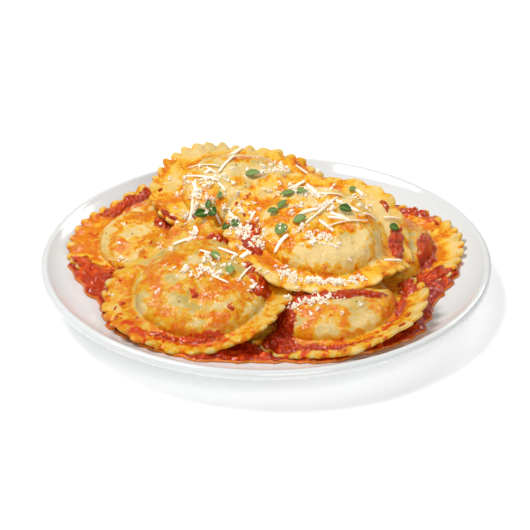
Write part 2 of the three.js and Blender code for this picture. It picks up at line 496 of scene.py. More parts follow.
@dataclass(frozen=True)
class Dab:
    """An oval touch of something on a raviolo.

    Attributes:
        u: Centre east along the sheet.
        v: Centre north along the sheet.
        long: Half length along its heading.
        wide: Half width across it.
        turn: Heading of the long axis in degrees.
        amount: Strength or thickness at the centre.
    """

    u: float
    v: float
    long: float
    wide: float
    turn: float = 0
    amount: float = 1

    def __call__(self, u: Array, v: Array) -> Array:
        """Return the bell-shaped amount at positions on the sheet.

        Args:
            u: Distances east along the sheet.
            v: Distances north along the sheet.

        Returns:
            The amount at each position.
        """
        c, s = math.cos(math.radians(self.turn)), math.sin(math.radians(self.turn))
        along = ((u - self.u) * c + (v - self.v) * s) / self.long
        across = ((v - self.v) * c - (u - self.u) * s) / self.wide
        return self.amount * np.exp(-(along**2 + across**2))


@dataclass
class Raviolo:
    """One raviolo: a filled dome inside a flat fluted flange, laid on a bent sheet.

    Attributes:
        node: Name of the solid that it stands for.
        sheet: Where and how it lies.
        size: Scale against the common size.
        seed: Seed of its own unevenness.
        green: How much the filling tints the dome.
        tone: Brightness of its pasta against the others.
        sauced: How much of it the sauce has stained, from -1 to 1.
        orange: Stains, placed one by one.
        red: Films of sauce, placed one by one.
        pale: Clean patches, and painted light where a side catches the lamps, placed one by one.
        folds: Raised creases, placed one by one, with their heights in millimetres.
        radius: Mean radius of the fluted rim, before the size.
        dome_shift: Offset of the dome from the raviolo's middle.
        dome_fullness: Power of the dome's outline; a higher one is flatter on top.
        fillet: Rounding where the dome meets the flange.
        flutes: Number of flutes round the rim.
        flute_depth: How far the flutes reach in and out.
        ridge_height: How far the flutes rise and fall.
        ridge_reach: Length of a flute's ridge, inwards from the rim.
        around: Points in a ring of the mesh.
    """

    node: str
    sheet: BentSheet
    size: float
    seed: int
    green: float = 0.3
    tone: float = 1.0
    sauced: float = 0.0
    orange: tuple[Dab, ...] = ()
    red: tuple[Dab, ...] = ()
    pale: tuple[Dab, ...] = ()
    folds: tuple[Dab, ...] = ()
    radius: float = 43
    dome_radius: float = 28.6
    dome_shift: tuple[float, float] = (0, 0)
    dome_height: float = 11
    dome_fullness: float = 2.6
    flange: float = 2.4
    edge: float = 2.0
    belly: float = 3.0
    fillet: float = 1.5
    flutes: int = 38
    flute_depth: float = 1.05
    ridge_height: float = 0.5
    ridge_reach: float = 7
    around: int = 456

    def rim_points(self, angle: Array) -> tuple[Array, Array]:
        """Return points on a plain circle of the raviolo's radius."""
        return self.radius * np.cos(angle), self.radius * np.sin(angle)

    def rim(self, angle: Array) -> Array:
        """Return the radius of the fluted rim: a slow unevenness plus the flutes."""
        slow = 0.45 * Ripple(self.seed + 5, 40)(*self.rim_points(angle))
        return self.radius * self.size + slow + self.flute(angle) * self.flute_depth

    def flute(self, angle: Array) -> Array:
        """Return the flute wave, about -1.2 to 0.9: full rounded crests and narrow valleys.

        Args:
            angle: Headings in radians.

        Returns:
            The wave at each heading.
        """
        drift = 0.5 * Ripple(self.seed + 6, 50)(*self.rim_points(angle))
        depth = 1 + 0.13 * Ripple(self.seed + 7, 18)(*self.rim_points(angle))
        turn = self.flutes * angle + drift
        return depth * (np.cos(turn) - 0.22 * np.cos(2 * turn))

    def dome_edge(self, angle: Array) -> Array:
        """Return the uneven radius of the dome's foot."""
        x, y = 30 * np.cos(angle), 30 * np.sin(angle)
        return self.dome_radius * self.size * (1 + 0.018 * Ripple(self.seed + 8, 26)(x, y))

    def dome_fraction(self, u: Array, v: Array) -> Array:
        """Return the distance from the dome's own centre as a fraction of its foot's radius."""
        a, b = u - self.dome_shift[0], v - self.dome_shift[1]
        return np.hypot(a, b) / self.dome_edge(np.arctan2(b, a))

    def top(self, u: Array, v: Array) -> Array:
        """Return the upper surface's height off the sheet.

        The dome is height * sqrt(1 - x ** fullness) of the radius fraction x, carried on below zero
        outside its foot and rounded into the flange. Lumps, a ripple and the rim's ridges are added.

        Args:
            u: Distances east along the sheet.
            v: Distances north along the sheet.

        Returns:
            Heights in millimetres.
        """
        r, angle = np.hypot(u, v), np.arctan2(v, u)
        x = self.dome_fraction(u, v)
        inside = np.sqrt(np.maximum(0, 1 - x**self.dome_fullness))
        outside = np.sqrt(np.maximum(0, np.minimum(x, 3) ** self.dome_fullness - 1))
        d = self.dome_height * (inside - outside)
        dome = 0.5 * (d + np.sqrt(d * d + self.fillet**2))
        crown = ramp(1.0, 0.75, x)
        lumps = crown * (0.42 * Ripple(self.seed, 19)(u, v) + 0.14 * Ripple(self.seed + 1, 7)(u, v))
        pleats = 0.22 * np.exp(-(((x - 0.93) / 0.09) ** 2)) * Ripple(self.seed + 2, 6)(u, v)
        moat = -0.5 * np.exp(-(((x - 1.13) / 0.07) ** 2))
        outer = ramp(1.05, 1.45, x)
        wave = outer * (0.5 * Ripple(self.seed + 3, 17)(u, v) + 0.12 * Ripple(self.seed + 4, 5)(u, v))
        full = self.radius * self.size
        ridge = self.ridge_height * self.flute(angle) * ramp(full - self.ridge_reach, full - 2.5, r)
        crease = sum((fold(u, v) for fold in self.folds), np.zeros_like(dome))
        return dome + lumps + pleats + moat + wave + ridge + crease

    def under(self, u: Array, v: Array) -> Array:
        """Return the underside's height off the sheet: a flat flange and a shallow belly.

        Args:
            u: Distances east along the sheet.
            v: Distances north along the sheet.

        Returns:
            Heights in millimetres.
        """
        r, angle = np.hypot(u, v), np.arctan2(v, u)
        x = np.minimum(1, r / (self.dome_radius * self.size))
        full = self.radius * self.size
        outer = ramp(1.05, 1.45, r / (self.dome_radius * self.size))
        wave = outer * 0.5 * Ripple(self.seed + 3, 17)(u, v)
        ridge = self.ridge_height * self.flute(angle) * ramp(full - self.ridge_reach, full - 2.5, r)
        return -self.flange - self.belly * (1 - x * x) + wave + ridge

    def stains(self, u: Array, v: Array) -> tuple[Array, Array, Array]:
        """Return the masks of orange stain, red film and pale pasta at positions on the sheet.

        The blotches are read at distances along the skin, so that the dome's steep wall does not stretch
        them. The ends of the flutes stay pale, partly clean pasta and partly painted light on the crests,
        and the valleys between them hold the stain. Orange and red also gather in the groove round the
        dome's foot, partly sauce that settles there and partly painted shade in the crease.

        Args:
            u: Distances east along the sheet.
            v: Distances north along the sheet.

        Returns:
            The three masks, from 0 to 1.
        """
        r, angle = np.hypot(u, v), np.arctan2(v, u)
        x = self.dome_fraction(u, v)
        fall = 1 - np.sqrt(np.maximum(0, 1 - np.minimum(x, 1) ** self.dome_fullness))
        along = 1 + 0.8 * self.dome_height * fall / np.maximum(r, 1)
        a, b = u * along, v * along
        filled = ramp(1.08, 0.9, x)
        # The groove round the dome's foot takes orange and red: partly sauce settled there, partly painted
        # shade in the crease.
        moat = np.exp(-(((x - 1.08) / 0.1) ** 2))
        full = self.radius * self.size
        rim = ramp(full - 4.5, full - 1.2, r)
        # Flute crests are painted paler: partly clean pasta, partly painted light on the crests.
        pillow = rim * self.flute(angle)
        orange_dabs = sum((dab(u, v) for dab in self.orange), np.zeros_like(u))
        # Pale dabs are clean patches, and some paint in light where a side of the pasta faces the lamps.
        pale_dabs = sum((dab(u, v) for dab in self.pale), np.zeros_like(u))
        red_dabs = sum((dab(u, v) for dab in self.red), np.zeros_like(u))
        lean = 0.9 * moat + 0.15 * (1 - filled) + self.sauced
        blot = Blotch(self.seed + 20, 15)(a, b)
        orange = ramp(-1.6, 2.0, 0.8 * blot + lean + 2.0 * orange_dabs - 1.8 * pale_dabs - 1.1 * pillow)
        film = Blotch(self.seed + 40, 9)(a, b)
        layer = 0.62 * film + 0.5 * moat + 0.6 * self.sauced + 2.2 * red_dabs - 0.8 * pillow - pale_dabs
        pale = np.maximum(filled, np.clip(0.9 * pale_dabs, 0, 1))
        pale = np.maximum(pale, 0.95 * np.clip(pillow, 0, 1))
        return orange, ramp(1.0, 2.4, layer), pale

    def shell(self) -> Shell:
        """Return the closed surface, from the crown over the rim to the middle of the belly.

        Returns:
            The closed raviolo with its masks.
        """
        angle = np.linspace(0, TAU, self.around, endpoint=False)
        foot, rim = self.dome_edge(angle), self.rim(angle)
        edge = self.edge / 2
        swell = np.sin(np.linspace(0, math.pi / 2, 34)) ** (2 / self.dome_fullness)
        radii = [foot * s for s in swell]
        out = np.linspace(0, 1, 30)[1:] ** 1.35
        radii += [foot + (rim - edge - foot) * t for t in out]
        radius = np.array(radii)
        u, v = radius * np.cos(angle), radius * np.sin(angle)
        height = self.top(u, v)
        turn = np.radians(np.linspace(90, -90, 9))[1:-1, None]
        ring_radius = rim - edge + edge * np.cos(turn)
        drop = self.edge * (0.5 - 0.5 * np.sin(turn))
        rim_u, rim_v = ring_radius * np.cos(angle), ring_radius * np.sin(angle)
        rim_height = height[-1] - drop
        back = np.concatenate([np.linspace(1, 0.66, 8), np.linspace(0.6, 0, 9)])[:, None]
        back_radius = back * (rim - edge)
        back_u, back_v = back_radius * np.cos(angle), back_radius * np.sin(angle)
        full_drop = height[-1] - self.edge
        belly = self.under(back_u, back_v)
        back_height = belly + (full_drop - belly[0]) * ramp(0.8, 1.0, back)
        u = np.concatenate([u, rim_u, back_u])
        v = np.concatenate([v, rim_v, back_v])
        height = np.concatenate([height, rim_height, back_height])
        masks = {"dressing": mask_colour(*self.stains(u, v))}
        return lofted(self.sheet.lay(u, v, height), masks)


# ---------------------------------------------------------------- the serving


def on_sheet(
    at: tuple[float, float, float], slope: tuple[float, float], lift: tuple[float, ...], size: float
) -> BentSheet:
    """Return the bent sheet of a raviolo of this size."""
    return BentSheet(at, slope, lift, Raviolo.radius * size)


def lay_serving() -> list[Raviolo]:
    """Return the six ravioli where they lie, from the plate up.

    Returns:
        The ravioli, each with its sheet, its tint and its dabs.
    """
    return [
        Raviolo(
            "ravioli_left",
            on_sheet((-50.5, 12.5, 15.5), (-0.05, 0.18), (-3.5, -2, 7.5, -2.5, -1, 5, 2, 0.5), 0.99),
            0.99, 100, green=0.4, tone=0.94, sauced=0.36,
            orange=(
                Dab(-17, -9.5, 7, 3, 0, 1.2), Dab(-7, 10.5, 7, 4, 10, 1.1),
                Dab(6, -4, 6, 3, -30, 0.7), Dab(-36, 2, 14, 5, 90), Dab(-30, 22, 8, 3, 50, 0.8),
            ),
            red=(
                Dab(-20, 29, 14, 3.5, 30, 1.0), Dab(2, 5, 6, 4, -40, 0.9),
                Dab(-20, -29, 16, 5, -35, 1.0),
            ),
            pale=(
                Dab(-25.5, -5, 10, 2.5, 95, 1.2), Dab(-20, 12, 8, 3, 50, 0.8),
                Dab(-10, 0, 6, 4, 0, 0.8), Dab(-12, -18, 8, 3, -30, 0.6),
            ),
            folds=(Dab(-28, -2, 14, 1.6, 95, 0.7),),
        ),
        Raviolo(
            "ravioli_right",
            on_sheet((50.5, 14, 12.5), (0.07, 0.1), (2, 0, -2, -3, 0, 1, 0.5, 3), 0.99),
            0.99, 200, green=0.9, sauced=0.22, ridge_height=0.65,
            orange=(
                Dab(20, 12, 10, 5, 60, 0.8), Dab(32, -10, 8, 4, 80, 0.8),
                Dab(33, 14, 8, 3, -60, 0.5),
            ),
            red=(
                Dab(24, 29, 12, 5, -35, 1.0), Dab(25, -6, 13, 4, 78, 1.2), Dab(30, -24, 10, 5, 40),
            ),
            pale=(
                Dab(39, -3, 16, 3, 95, 1.0), Dab(18, -6, 6, 3, 80, 0.5),
                Dab(35, -17, 6, 3, 60, 0.8),
            ),
        ),
        Raviolo(
            "ravioli_front_right",
            on_sheet((30.5, -47, 15), (0.08, 0), (6, 2, 5, -4, -3.5, -0.5, 3.5, 7.5), 0.97),
            0.97, 300, green=1.2, tone=0.88, sauced=0.3, flutes=28, ridge_height=0.5, ridge_reach=6,
            orange=(
                Dab(-10.5, -20, 4, 2.5, 60, 1.2), Dab(4, -22, 5, 2.5, 80, 1.4),
                Dab(-12, -5, 5, 4, 80, 0.8), Dab(26.5, -9, 6, 2, 80, 1.2),
                Dab(20, -14, 4, 3, 0, 0.6), Dab(33, -8, 9, 2.5, 70, 0.6),
                Dab(-12, -14, 6, 3, 30, 0.7), Dab(14, -12, 6, 2, 0, 0.6),
                Dab(-14, -22, 5, 2, -40, 0.8),
            ),
            red=(
                Dab(-14, -31, 14, 3, -25, 1.2), Dab(6, -33, 14, 2.6, 4, 1.1),
                Dab(22, -24, 8, 2, 45, 0.6), Dab(2, -2, 16, 3, 0, 1.0),
                Dab(28.5, -12, 8, 1.8, 70, 1.1),
            ),
            pale=(
                Dab(-16.5, -18, 5, 3, 80, 0.7), Dab(12.3, -20, 6, 5, 0, 1.0),
                Dab(-4, -26, 9, 2, 0, 0.6), Dab(37.5, -11, 13, 2.6, 75, 1.0),
                Dab(29, -27, 8, 2.6, 45, 0.8), Dab(2, -10, 12, 4, 0, 0.7),
            ),
        ),
        Raviolo(
            "ravioli_back",
            on_sheet((-11.5, 35.5, 32), (-0.06, 0.19), (-0.5, -1, -3.5, 1.5, 2, 2.5, 0, -1.5), 1.01),
            1.01, 400, green=0.95, tone=0.96, sauced=-0.05,
            orange=(
                Dab(-1, 15.5, 8, 2.5, 10, 1.2), Dab(-35, -10, 8, 4, 60, 0.9),
                Dab(-38, 13, 7, 2.5, 80, 0.9), Dab(-13, -12, 6, 4, 0, 0.7),
                Dab(27, 26, 8, 3, -45, 1.1), Dab(-26, 20, 6, 3, 30, 0.7),
                Dab(4, -14, 10, 4, 0, 0.8),
            ),
            red=(
                Dab(-8, 17, 5, 2.5, 40, 0.5), Dab(-27, 25, 5, 2, 60, 0.7),
                Dab(-36, -20, 6, 3, -40, 0.9),
            ),
            pale=(
                Dab(10, 5, 13, 10, 0, 1.0), Dab(-10, 0, 7, 9, 0, 0.7), Dab(-32, 6, 9, 4, 75, 1.1),
                Dab(-20, 33, 14, 4, 35, 1.3), Dab(0, 39, 12, 3, 0, 0.9),
            ),
            folds=(Dab(-12, 27, 14, 1.6, 14, 0.8),),
        ),
        Raviolo(
            "ravioli_front_left",
            on_sheet((-31, -41.5, 23), (0.03, 0.27), (3.5, -2.5, 3.5, -7.5, -5, 4.5, 4, 7), 1.0),
            1.0, 500, green=1.4, tone=0.86, sauced=0.3, flutes=31, ridge_height=0.6, ridge_reach=5.5,
            dome_radius=30.5, dome_shift=(2.4, -1.2), dome_height=10.4,
            orange=(
                Dab(-17.3, -8, 9, 2.6, 92, 1.2), Dab(-13, -22, 6, 3, -60, 1.2),
                Dab(-3, -29, 9, 2.4, -8, 0.8), Dab(10, -27, 8, 3, 14, 0.9),
                Dab(-1.5, -1, 7, 3, -80, 1.1), Dab(-14, 10, 10, 2.8, 14, 1.2),
                Dab(14, -9, 9, 4, 10, 1.0), Dab(-35, 4, 7, 3, 95, 0.6),
                Dab(-36, -22, 11, 3, 122, 1.2), Dab(-9, 39, 9, 3, 5, 0.8),
                Dab(4, -14, 4, 2.5, 0, 0.8), Dab(7, 1, 6, 3, 20, 0.8), Dab(18, -12, 7, 3, -50, 0.6),
                Dab(6, -24, 8, 2.2, 5, 0.7),
            ),
            red=(
                Dab(-0.5, -12, 4, 2.4, -70, 1.0), Dab(15.6, -21, 3, 2, -60, 0.9),
                Dab(-14, -20, 3, 2, -50, 0.6), Dab(-15, -31, 12, 2.8, -20, 1.3),
                Dab(4, -33.5, 13, 2.6, 3, 1.3), Dab(-34, -14, 6, 2.5, 100, 0.7),
                Dab(26, -2, 8, 3.5, -60, 1.0), Dab(-29, -24, 8, 3, -50, 0.8),
            ),
            pale=(
                Dab(-10.5, -2, 4.5, 3.5, 0, 1.1), Dab(-2, -18.5, 10, 3.6, -22, 1.1),
                Dab(-25, -11, 10, 2.6, 102, 1.4), Dab(0.5, -28, 7, 1.8, 0, 0.7),
                Dab(13, 4, 12, 5, -15, 0.8), Dab(27, -20, 11, 3.5, 53, 1.1),
                Dab(-14, 28, 13, 2, 27, 1.3), Dab(-26.5, 10, 12, 2, 82, 1.0),
                Dab(11, -17, 5, 3, 20, 0.4), Dab(-36, -6, 7, 3, 100, 0.9),
            ),
            folds=(
                Dab(-14, 28, 13, 1.8, 27, 1.2), Dab(-27.5, 8, 13, 1.8, 84, 0.9),
                Dab(26, -21, 9, 2, 53, 0.6),
            ),
        ),
        Raviolo(
            "ravioli_top",
            on_sheet((24.5, -8, 34), (-0.09, 0.27), (-9, 1, -3, 1, 0, 5, 6, 6.5), 1.02),
            1.02, 600, green=0.55, sauced=0.05, flutes=27, ridge_height=0.2, flute_depth=0.75,
            orange=(
                Dab(-13, -17, 8, 4, 0, 1.2), Dab(-17, 0, 7, 3, 25, 1.1),
                Dab(0, -10, 9, 2.2, -8, 0.8), Dab(12, -5, 7, 2.6, 12, 1.1),
                Dab(24.5, -10, 4, 1.4, 90, 0.7), Dab(22, -18, 5, 2.5, 50, 0.4),
                Dab(-28, -18, 9, 4, -60, 1.3), Dab(-20, -26, 7, 2.5, -30, 0.9),
                Dab(-26, 14, 8, 4, 50, 0.5), Dab(30, -22, 9, 3, 40, 0.7), Dab(4, 34, 12, 3, 0, 0.5),
            ),
            red=(
                Dab(36.5, 2, 9, 3.5, 85, 1.2), Dab(-31, -5, 8, 4, 80, 0.6),
                Dab(-30, -19, 5, 2, -60, 0.6), Dab(33, 18, 5, 1.5, -50, 0.7),
            ),
            pale=(
                Dab(-4, -23.5, 13, 3.5, 0, 1.1), Dab(15, -15, 9, 7, 30, 1.3),
                Dab(-25, -33, 9, 3, -35, 1.1), Dab(24, 22, 15, 7, -45, 1.2),
                Dab(4, -20, 8, 5, 0, 0.7), Dab(-8, 16, 8, 4, 20, 0.6),
                Dab(27, -7, 10, 2.6, 85, 1.0), Dab(-4, -42, 30, 1.6, 0, 0.8),
                Dab(33, 12, 8, 3, -70, 1.0), Dab(-24, 25, 8, 4, 30, 1.0),
                Dab(24, -18, 6, 3, 50, 0.6),
            ),
            folds=(
                Dab(30, 6, 15, 1.4, -62, 0.8), Dab(14, 31, 12, 1.4, -28, 0.7),
                Dab(-10, 27, 10, 1.6, 20, 0.6),
            ),
        ),
    ]


class FoodSurface:
    """What is uppermost at each plan position: the height map that toppings and sauce follow."""

    def __init__(
        self, ravioli: list[Raviolo], plate: PlateForm, reach: float = 100, step: float = 0.4
    ) -> None:
        """Work the height map out.

        Args:
            ravioli: The ravioli.
            plate: The plate under them.
            reach: Half width of the map in millimetres.
            step: Spacing of the map in millimetres.
        """
        self.reach, self.step = reach, step
        line = np.arange(-reach, reach + step / 2, step)
        self.x, self.y = np.meshgrid(line, line, indexing="ij")
        self.bare = plate.top(np.hypot(self.x, self.y))
        self.height = self.bare.copy()
        self.ceiling = np.full_like(self.height, 1e3)
        for raviolo in ravioli:
            self.cover(raviolo)
        self.bank = self.banked(slope=1.0, rounds=34)

    def banked(self, slope: float, rounds: int) -> Array:
        """Return the ceiling carried outwards from each raviolo's edge as a bank that rises at a slope.

        Args:
            slope: Rise per millimetre away from the edge.
            rounds: How many steps of the map the bank is carried.

        Returns:
            The banked map.
        """
        bank = self.ceiling.copy()
        for _ in range(rounds):
            for axis in (0, 1):
                for way in (1, -1):
                    bank = np.minimum(bank, np.roll(bank, way, axis) + slope * self.step)
        return bank

    def cover(self, raviolo: Raviolo) -> None:
        """Raise the map to a raviolo's upper surface and lower the ceiling to its underside.

        Args:
            raviolo: The raviolo.
        """
        near = np.hypot(self.x - raviolo.sheet.at[0], self.y - raviolo.sheet.at[1]) < raviolo.radius * 1.15
        x, y = self.x[near], self.y[near]
        u, v = raviolo.sheet.find(x, y, raviolo.top)
        inside = np.hypot(u, v) < raviolo.rim(np.arctan2(v, u)) - 0.4
        z = raviolo.sheet.lay(u, v, raviolo.top(u, v))[..., 2]
        self.height[near] = np.where(inside, np.maximum(z, self.height[near]), self.height[near])
        u, v = raviolo.sheet.find(x, y, raviolo.under)
        inside = np.hypot(u, v) < raviolo.rim(np.arctan2(v, u)) - 0.2
        z = raviolo.sheet.lay(u, v, raviolo.under(u, v))[..., 2]
        self.ceiling[near] = np.where(inside, np.minimum(z, self.ceiling[near]), self.ceiling[near])

    def read(self, table: Array, x: Array, y: Array) -> Array:
        """Read a map between its points, by blending the four neighbours.

        Args:
            table: The map.
            x: Plan positions east.
            y: Plan positions north.

        Returns:
            The map's value at each position.
        """
        i = np.clip((x + self.reach) / self.step, 0, table.shape[0] - 1.001)
        j = np.clip((y + self.reach) / self.step, 0, table.shape[1] - 1.001)
        i0, j0 = i.astype(int), j.astype(int)
        fi, fj = i - i0, j - j0
        low = table[i0, j0] * (1 - fj) + table[i0, j0 + 1] * fj
        high = table[i0 + 1, j0] * (1 - fj) + table[i0 + 1, j0 + 1] * fj
        return low * (1 - fi) + high * fi

    def normals(self, x: Array, y: Array) -> Array:
        """Return upward unit normals of the map, from its slope over a millimetre.

        Args:
            x: Plan positions east.
            y: Plan positions north.

        Returns:
            Unit vectors, with the components last.
        """
        dx = (self.read(self.height, x + 0.7, y) - self.read(self.height, x - 0.7, y)) / 1.4
        dy = (self.read(self.height, x, y + 0.7) - self.read(self.height, x, y - 0.7)) / 1.4
        dx, dy = np.clip(dx, -1.3, 1.3), np.clip(dy, -1.3, 1.3)
        normal = np.stack([-dx, -dy, np.ones_like(dx)], -1)
        return normal / np.linalg.norm(normal, axis=-1, keepdims=True)


# ---------------------------------------------------------------- the sauce


@dataclass
class SauceBed:
    """The pool of sauce: a chunky heap that thins to an uneven edge and fills what is under the pasta.

    Attributes:
        reach: Radius of the edge at equally spaced headings, in millimetres.
        mounds: Extra sauce heaped beside the pasta.
        film: Least thickness on the plate.
        clearance: How far the sauce rises into the pasta that lies on it.
        overflow: How far a mound has to stand over the food to cover its edge.
        flank: Distance east or west beyond which a mound may do so.
        sky: Height that stands for open air in the height maps.
        root_gap: Gap between the underside and the plate.
        bright: Where brighter pulp is painted in: painted light standing for the light and glints on the left
            heap.
        dark: Where the pulp is painted darker: painted shade in the hollow between the front ravioli.
    """

    surface: FoodSurface
    plate: PlateForm
    reach: tuple[float, ...] = (91, 92, 88, 86, 88, 90, 88, 90, 91, 84, 92, 92, 86, 93, 94, 84)
    depth: float = 4.2
    edge_depth: float = 0.5
    shoulder: float = 0.12
    heap_centre: tuple[float, float] = (-4, 32)
    heap_radius: float = 62
    heap_height: float = 24
    mounds: tuple[Dab, ...] = (
        Dab(3, -46, 9, 11, 60, 9), Dab(-67, -27, 14, 8, -45, 9), Dab(-81, -13, 12, 6, -65, 6),
        Dab(62, -22, 9, 10, 40, 8), Dab(56, -34, 12, 8, 45, 6), Dab(79, -11, 11, 5, 62, 5),
    )
    film: float = 0.35
    clearance: float = 0.25
    overflow: float = 0.2
    flank: float = 48
    sky: float = 99
    root_gap: float = 0.06
    # bright paints light on the left heap's lumps; dark paints shade between the front ravioli.
    bright: Dab = Dab(-75, -20, 16, 10, -50, 0.45)
    dark: Dab = Dab(4, -52, 20, 12, 60, 0.8)
    rings: int = 190
    around: int = 460

    def relief(self, x: Array, y: Array) -> Array:
        """Return lumps of pulp: squared ripples, so that the lumps are round and the gaps sharp.

        Args:
            x: Plan positions east.
            y: Plan positions north.

        Returns:
            Heights of the lumps in millimetres.
        """
        wx, wy = x + 2.5 * Ripple(36, 17)(x, y), y + 2.5 * Ripple(37, 17)(x, y)
        lump = np.abs(Ripple(31, 12)(wx, wy)) * 0.55 + Blotch(32, 6)(x, y) * 0.45
        return lump + 0.15 * Ripple(33, 2.6)(x, y) - 0.5

    def shell(self) -> Shell:
        """Return the bed as a closed body of rings, its underside on the plate.

        Returns:
            The closed pool with its masks.
        """
        angle = np.linspace(0, TAU, self.around, endpoint=False)
        outline = blend_by_heading(self.reach, angle)
        ox, oy = 88 * np.cos(angle), 88 * np.sin(angle)
        outline = outline + 0.7 * Ripple(34, 13)(ox, oy) + 0.35 * Ripple(35, 5)(ox, oy)
        fraction = np.linspace(0, 1, self.rings)[:, None] ** 0.75
        radius = fraction * outline
        x, y = radius * np.cos(angle), radius * np.sin(angle)
        inward = np.sqrt(np.clip((1 - fraction) / self.shoulder, 0, 1))
        away = np.hypot(x - self.heap_centre[0], y - self.heap_centre[1]) / self.heap_radius
        body = self.edge_depth + (self.depth - self.edge_depth) * inward
        body = body + self.heap_height * ramp(1, 0, away) + self.relief(x, y) * inward
        base = self.plate.top(radius)
        under, bank, food = (
            self.surface.read(np.minimum(table, self.sky), x, y)
            for table in (self.surface.ceiling, self.surface.bank, self.surface.height)
        )
        least = base + self.film
        low = np.minimum(base + body, np.maximum(bank + self.clearance, least))
        heaped = low + inward * sum(mound(x, y) for mound in self.mounds)
        over = (heaped > food + self.overflow) & (np.abs(x) > self.flank)
        covered = np.minimum(heaped, np.maximum(under + self.clearance, least))
        height = np.where(over, heaped, covered)
        thin = ramp(0.013, 0.0, 1 - fraction) * np.ones_like(radius)
        # Pulp on the lumps and deep red in the hollows between them, partly the sauce's own darker liquid and
        # partly painted shade; bright adds painted light and dark adds painted shade.
        pulp = ramp(-0.4, 1.2, self.relief(x, y)) + self.bright(x, y) - self.dark(x, y)
        top = np.stack([x, y, height], -1)
        root = np.linspace(1, 0, 12)[:, None]
        rx, ry = root * outline * np.cos(angle), root * outline * np.sin(angle)
        bottom = np.stack([rx, ry, self.plate.top(root * outline) + self.root_gap], -1)
        rings = np.concatenate([top, bottom])
        filler = np.zeros_like(rx)
        thin_all = np.concatenate([thin, filler + 0.6])
        pulp_all = np.concatenate([pulp, filler])
        return lofted(rings, {"dressing": mask_colour(thin_all, pulp_all)})


@dataclass(frozen=True)
class Spoonful:
    """A dab of thick sauce on a named raviolo, and how much painted shade darkens it against bright pulp."""

    node: str
    dab: Dab
    # Share of painted shade: how far the pulp is darkened to deep red.
    deep: float = 0.0


@dataclass
class LooseSauce:
    """Thick sauce lying on the pasta: spoonfuls placed one by one and many small bits of pulp."""

    ravioli: list[Raviolo]
    spoonfuls: tuple[Spoonful, ...]
    bits: int = 8
    floor: float = 0.3
    step: float = 0.42

    def on(self, raviolo: Raviolo) -> list[Spoonful]:
        """Return the spoonfuls that lie on a raviolo."""
        return [spoonful for spoonful in self.spoonfuls if spoonful.node == raviolo.node]

    def scattered(self, raviolo: Raviolo) -> list[Dab]:
        """Return small bits of pulp, most of them in the moat and out on the flange.

        Args:
            raviolo: The raviolo that they lie on.

        Returns:
            The bits as dabs.
        """
        rng = np.random.default_rng(raviolo.seed + 60)
        angle = rng.uniform(0, TAU, self.bits)
        r = rng.uniform(30, 42, self.bits) * raviolo.size
        long, wide = rng.uniform(1.2, 3.6, self.bits), rng.uniform(0.8, 1.8, self.bits)
        turn = np.degrees(angle) + 90 + rng.normal(0, 25, self.bits)
        amount = rng.uniform(0.42, 0.7, self.bits)
        rows = zip(r * np.cos(angle), r * np.sin(angle), long, wide, turn, amount)
        return [Dab(*(float(w) for w in row)) for row in rows]

    def depth(self, raviolo: Raviolo, u: Array, v: Array) -> Array:
        """Return the sauce's thickness over positions on a raviolo, negative where there is none.

        Args:
            raviolo: The raviolo.
            u: Distances east along the sheet.
            v: Distances north along the sheet.

        Returns:
            Thickness in millimetres.
        """
        dabs = [spoonful.dab for spoonful in self.on(raviolo)] + self.scattered(raviolo)
        total = sum((dab(u, v) for dab in dabs), np.zeros_like(u))
        ragged = 0.3 * Ripple(51, 8)(u, v) + 0.22 * Ripple(52, 3)(u, v)
        pulp = 0.35 * np.abs(Ripple(53, 7)(u, v)) + 0.2 * Blotch(54, 4)(u, v)
        spread = total * (1 + 0.9 * ragged)
        inside = raviolo.rim(np.arctan2(v, u)) - np.hypot(u, v)
        return (spread + pulp * ramp(0.3, 1.0, spread)) * ramp(0.1, 2.2, inside) - self.floor

    def shell(self) -> Shell:
        """Return every raviolo's patches as closed skins that sink into the pasta at their edges.

        Returns:
            One shell that holds all the patches.
        """
        line = np.arange(-45, 45 + self.step / 2, self.step)
        u, v = np.meshgrid(line, line, indexing="ij")
        bodies = []
        for raviolo in self.ravioli:
            depth = self.depth(raviolo, u, v)
            surface = raviolo.top(u, v)
            inside = np.hypot(u, v) < raviolo.rim(np.arctan2(v, u)) - 0.3
            wet = (depth > -0.15) & inside
            cell = wet[:-1, :-1] & wet[1:, :-1] & wet[1:, 1:] & wet[:-1, 1:]
            top = raviolo.sheet.lay(u, v, surface + np.maximum(depth, -0.3))
            bottom = raviolo.sheet.lay(u, v, surface - 0.8)
            # Painted shade: each spoonful's deep share darkens its pulp where it lies in shade.
            shades = (spoonful.deep * spoonful.dab(u, v) for spoonful in self.on(raviolo))
            dark = sum(shades, np.zeros_like(u))
            bodies.append(field_body(top, bottom, cell, depth, dark))
        return joined(bodies)


def joined(shells: list[Shell]) -> Shell:
    """Return one shell that holds all of these, which have the same masks and kinds of faces.

    Args:
        shells: The shells to join.

    Returns:
        The joined shell.
    """
    starts = np.cumsum([0] + [len(shell.points) for shell in shells])
    blocks = [
        np.concatenate([block + start for block, start in zip(group, starts)])
        for group in zip(*(shell.faces for shell in shells))
    ]
    masks = {name: np.concatenate([shell.masks[name] for shell in shells]) for name in shells[0].masks}
    return Shell(np.concatenate([shell.points for shell in shells]), blocks, masks)


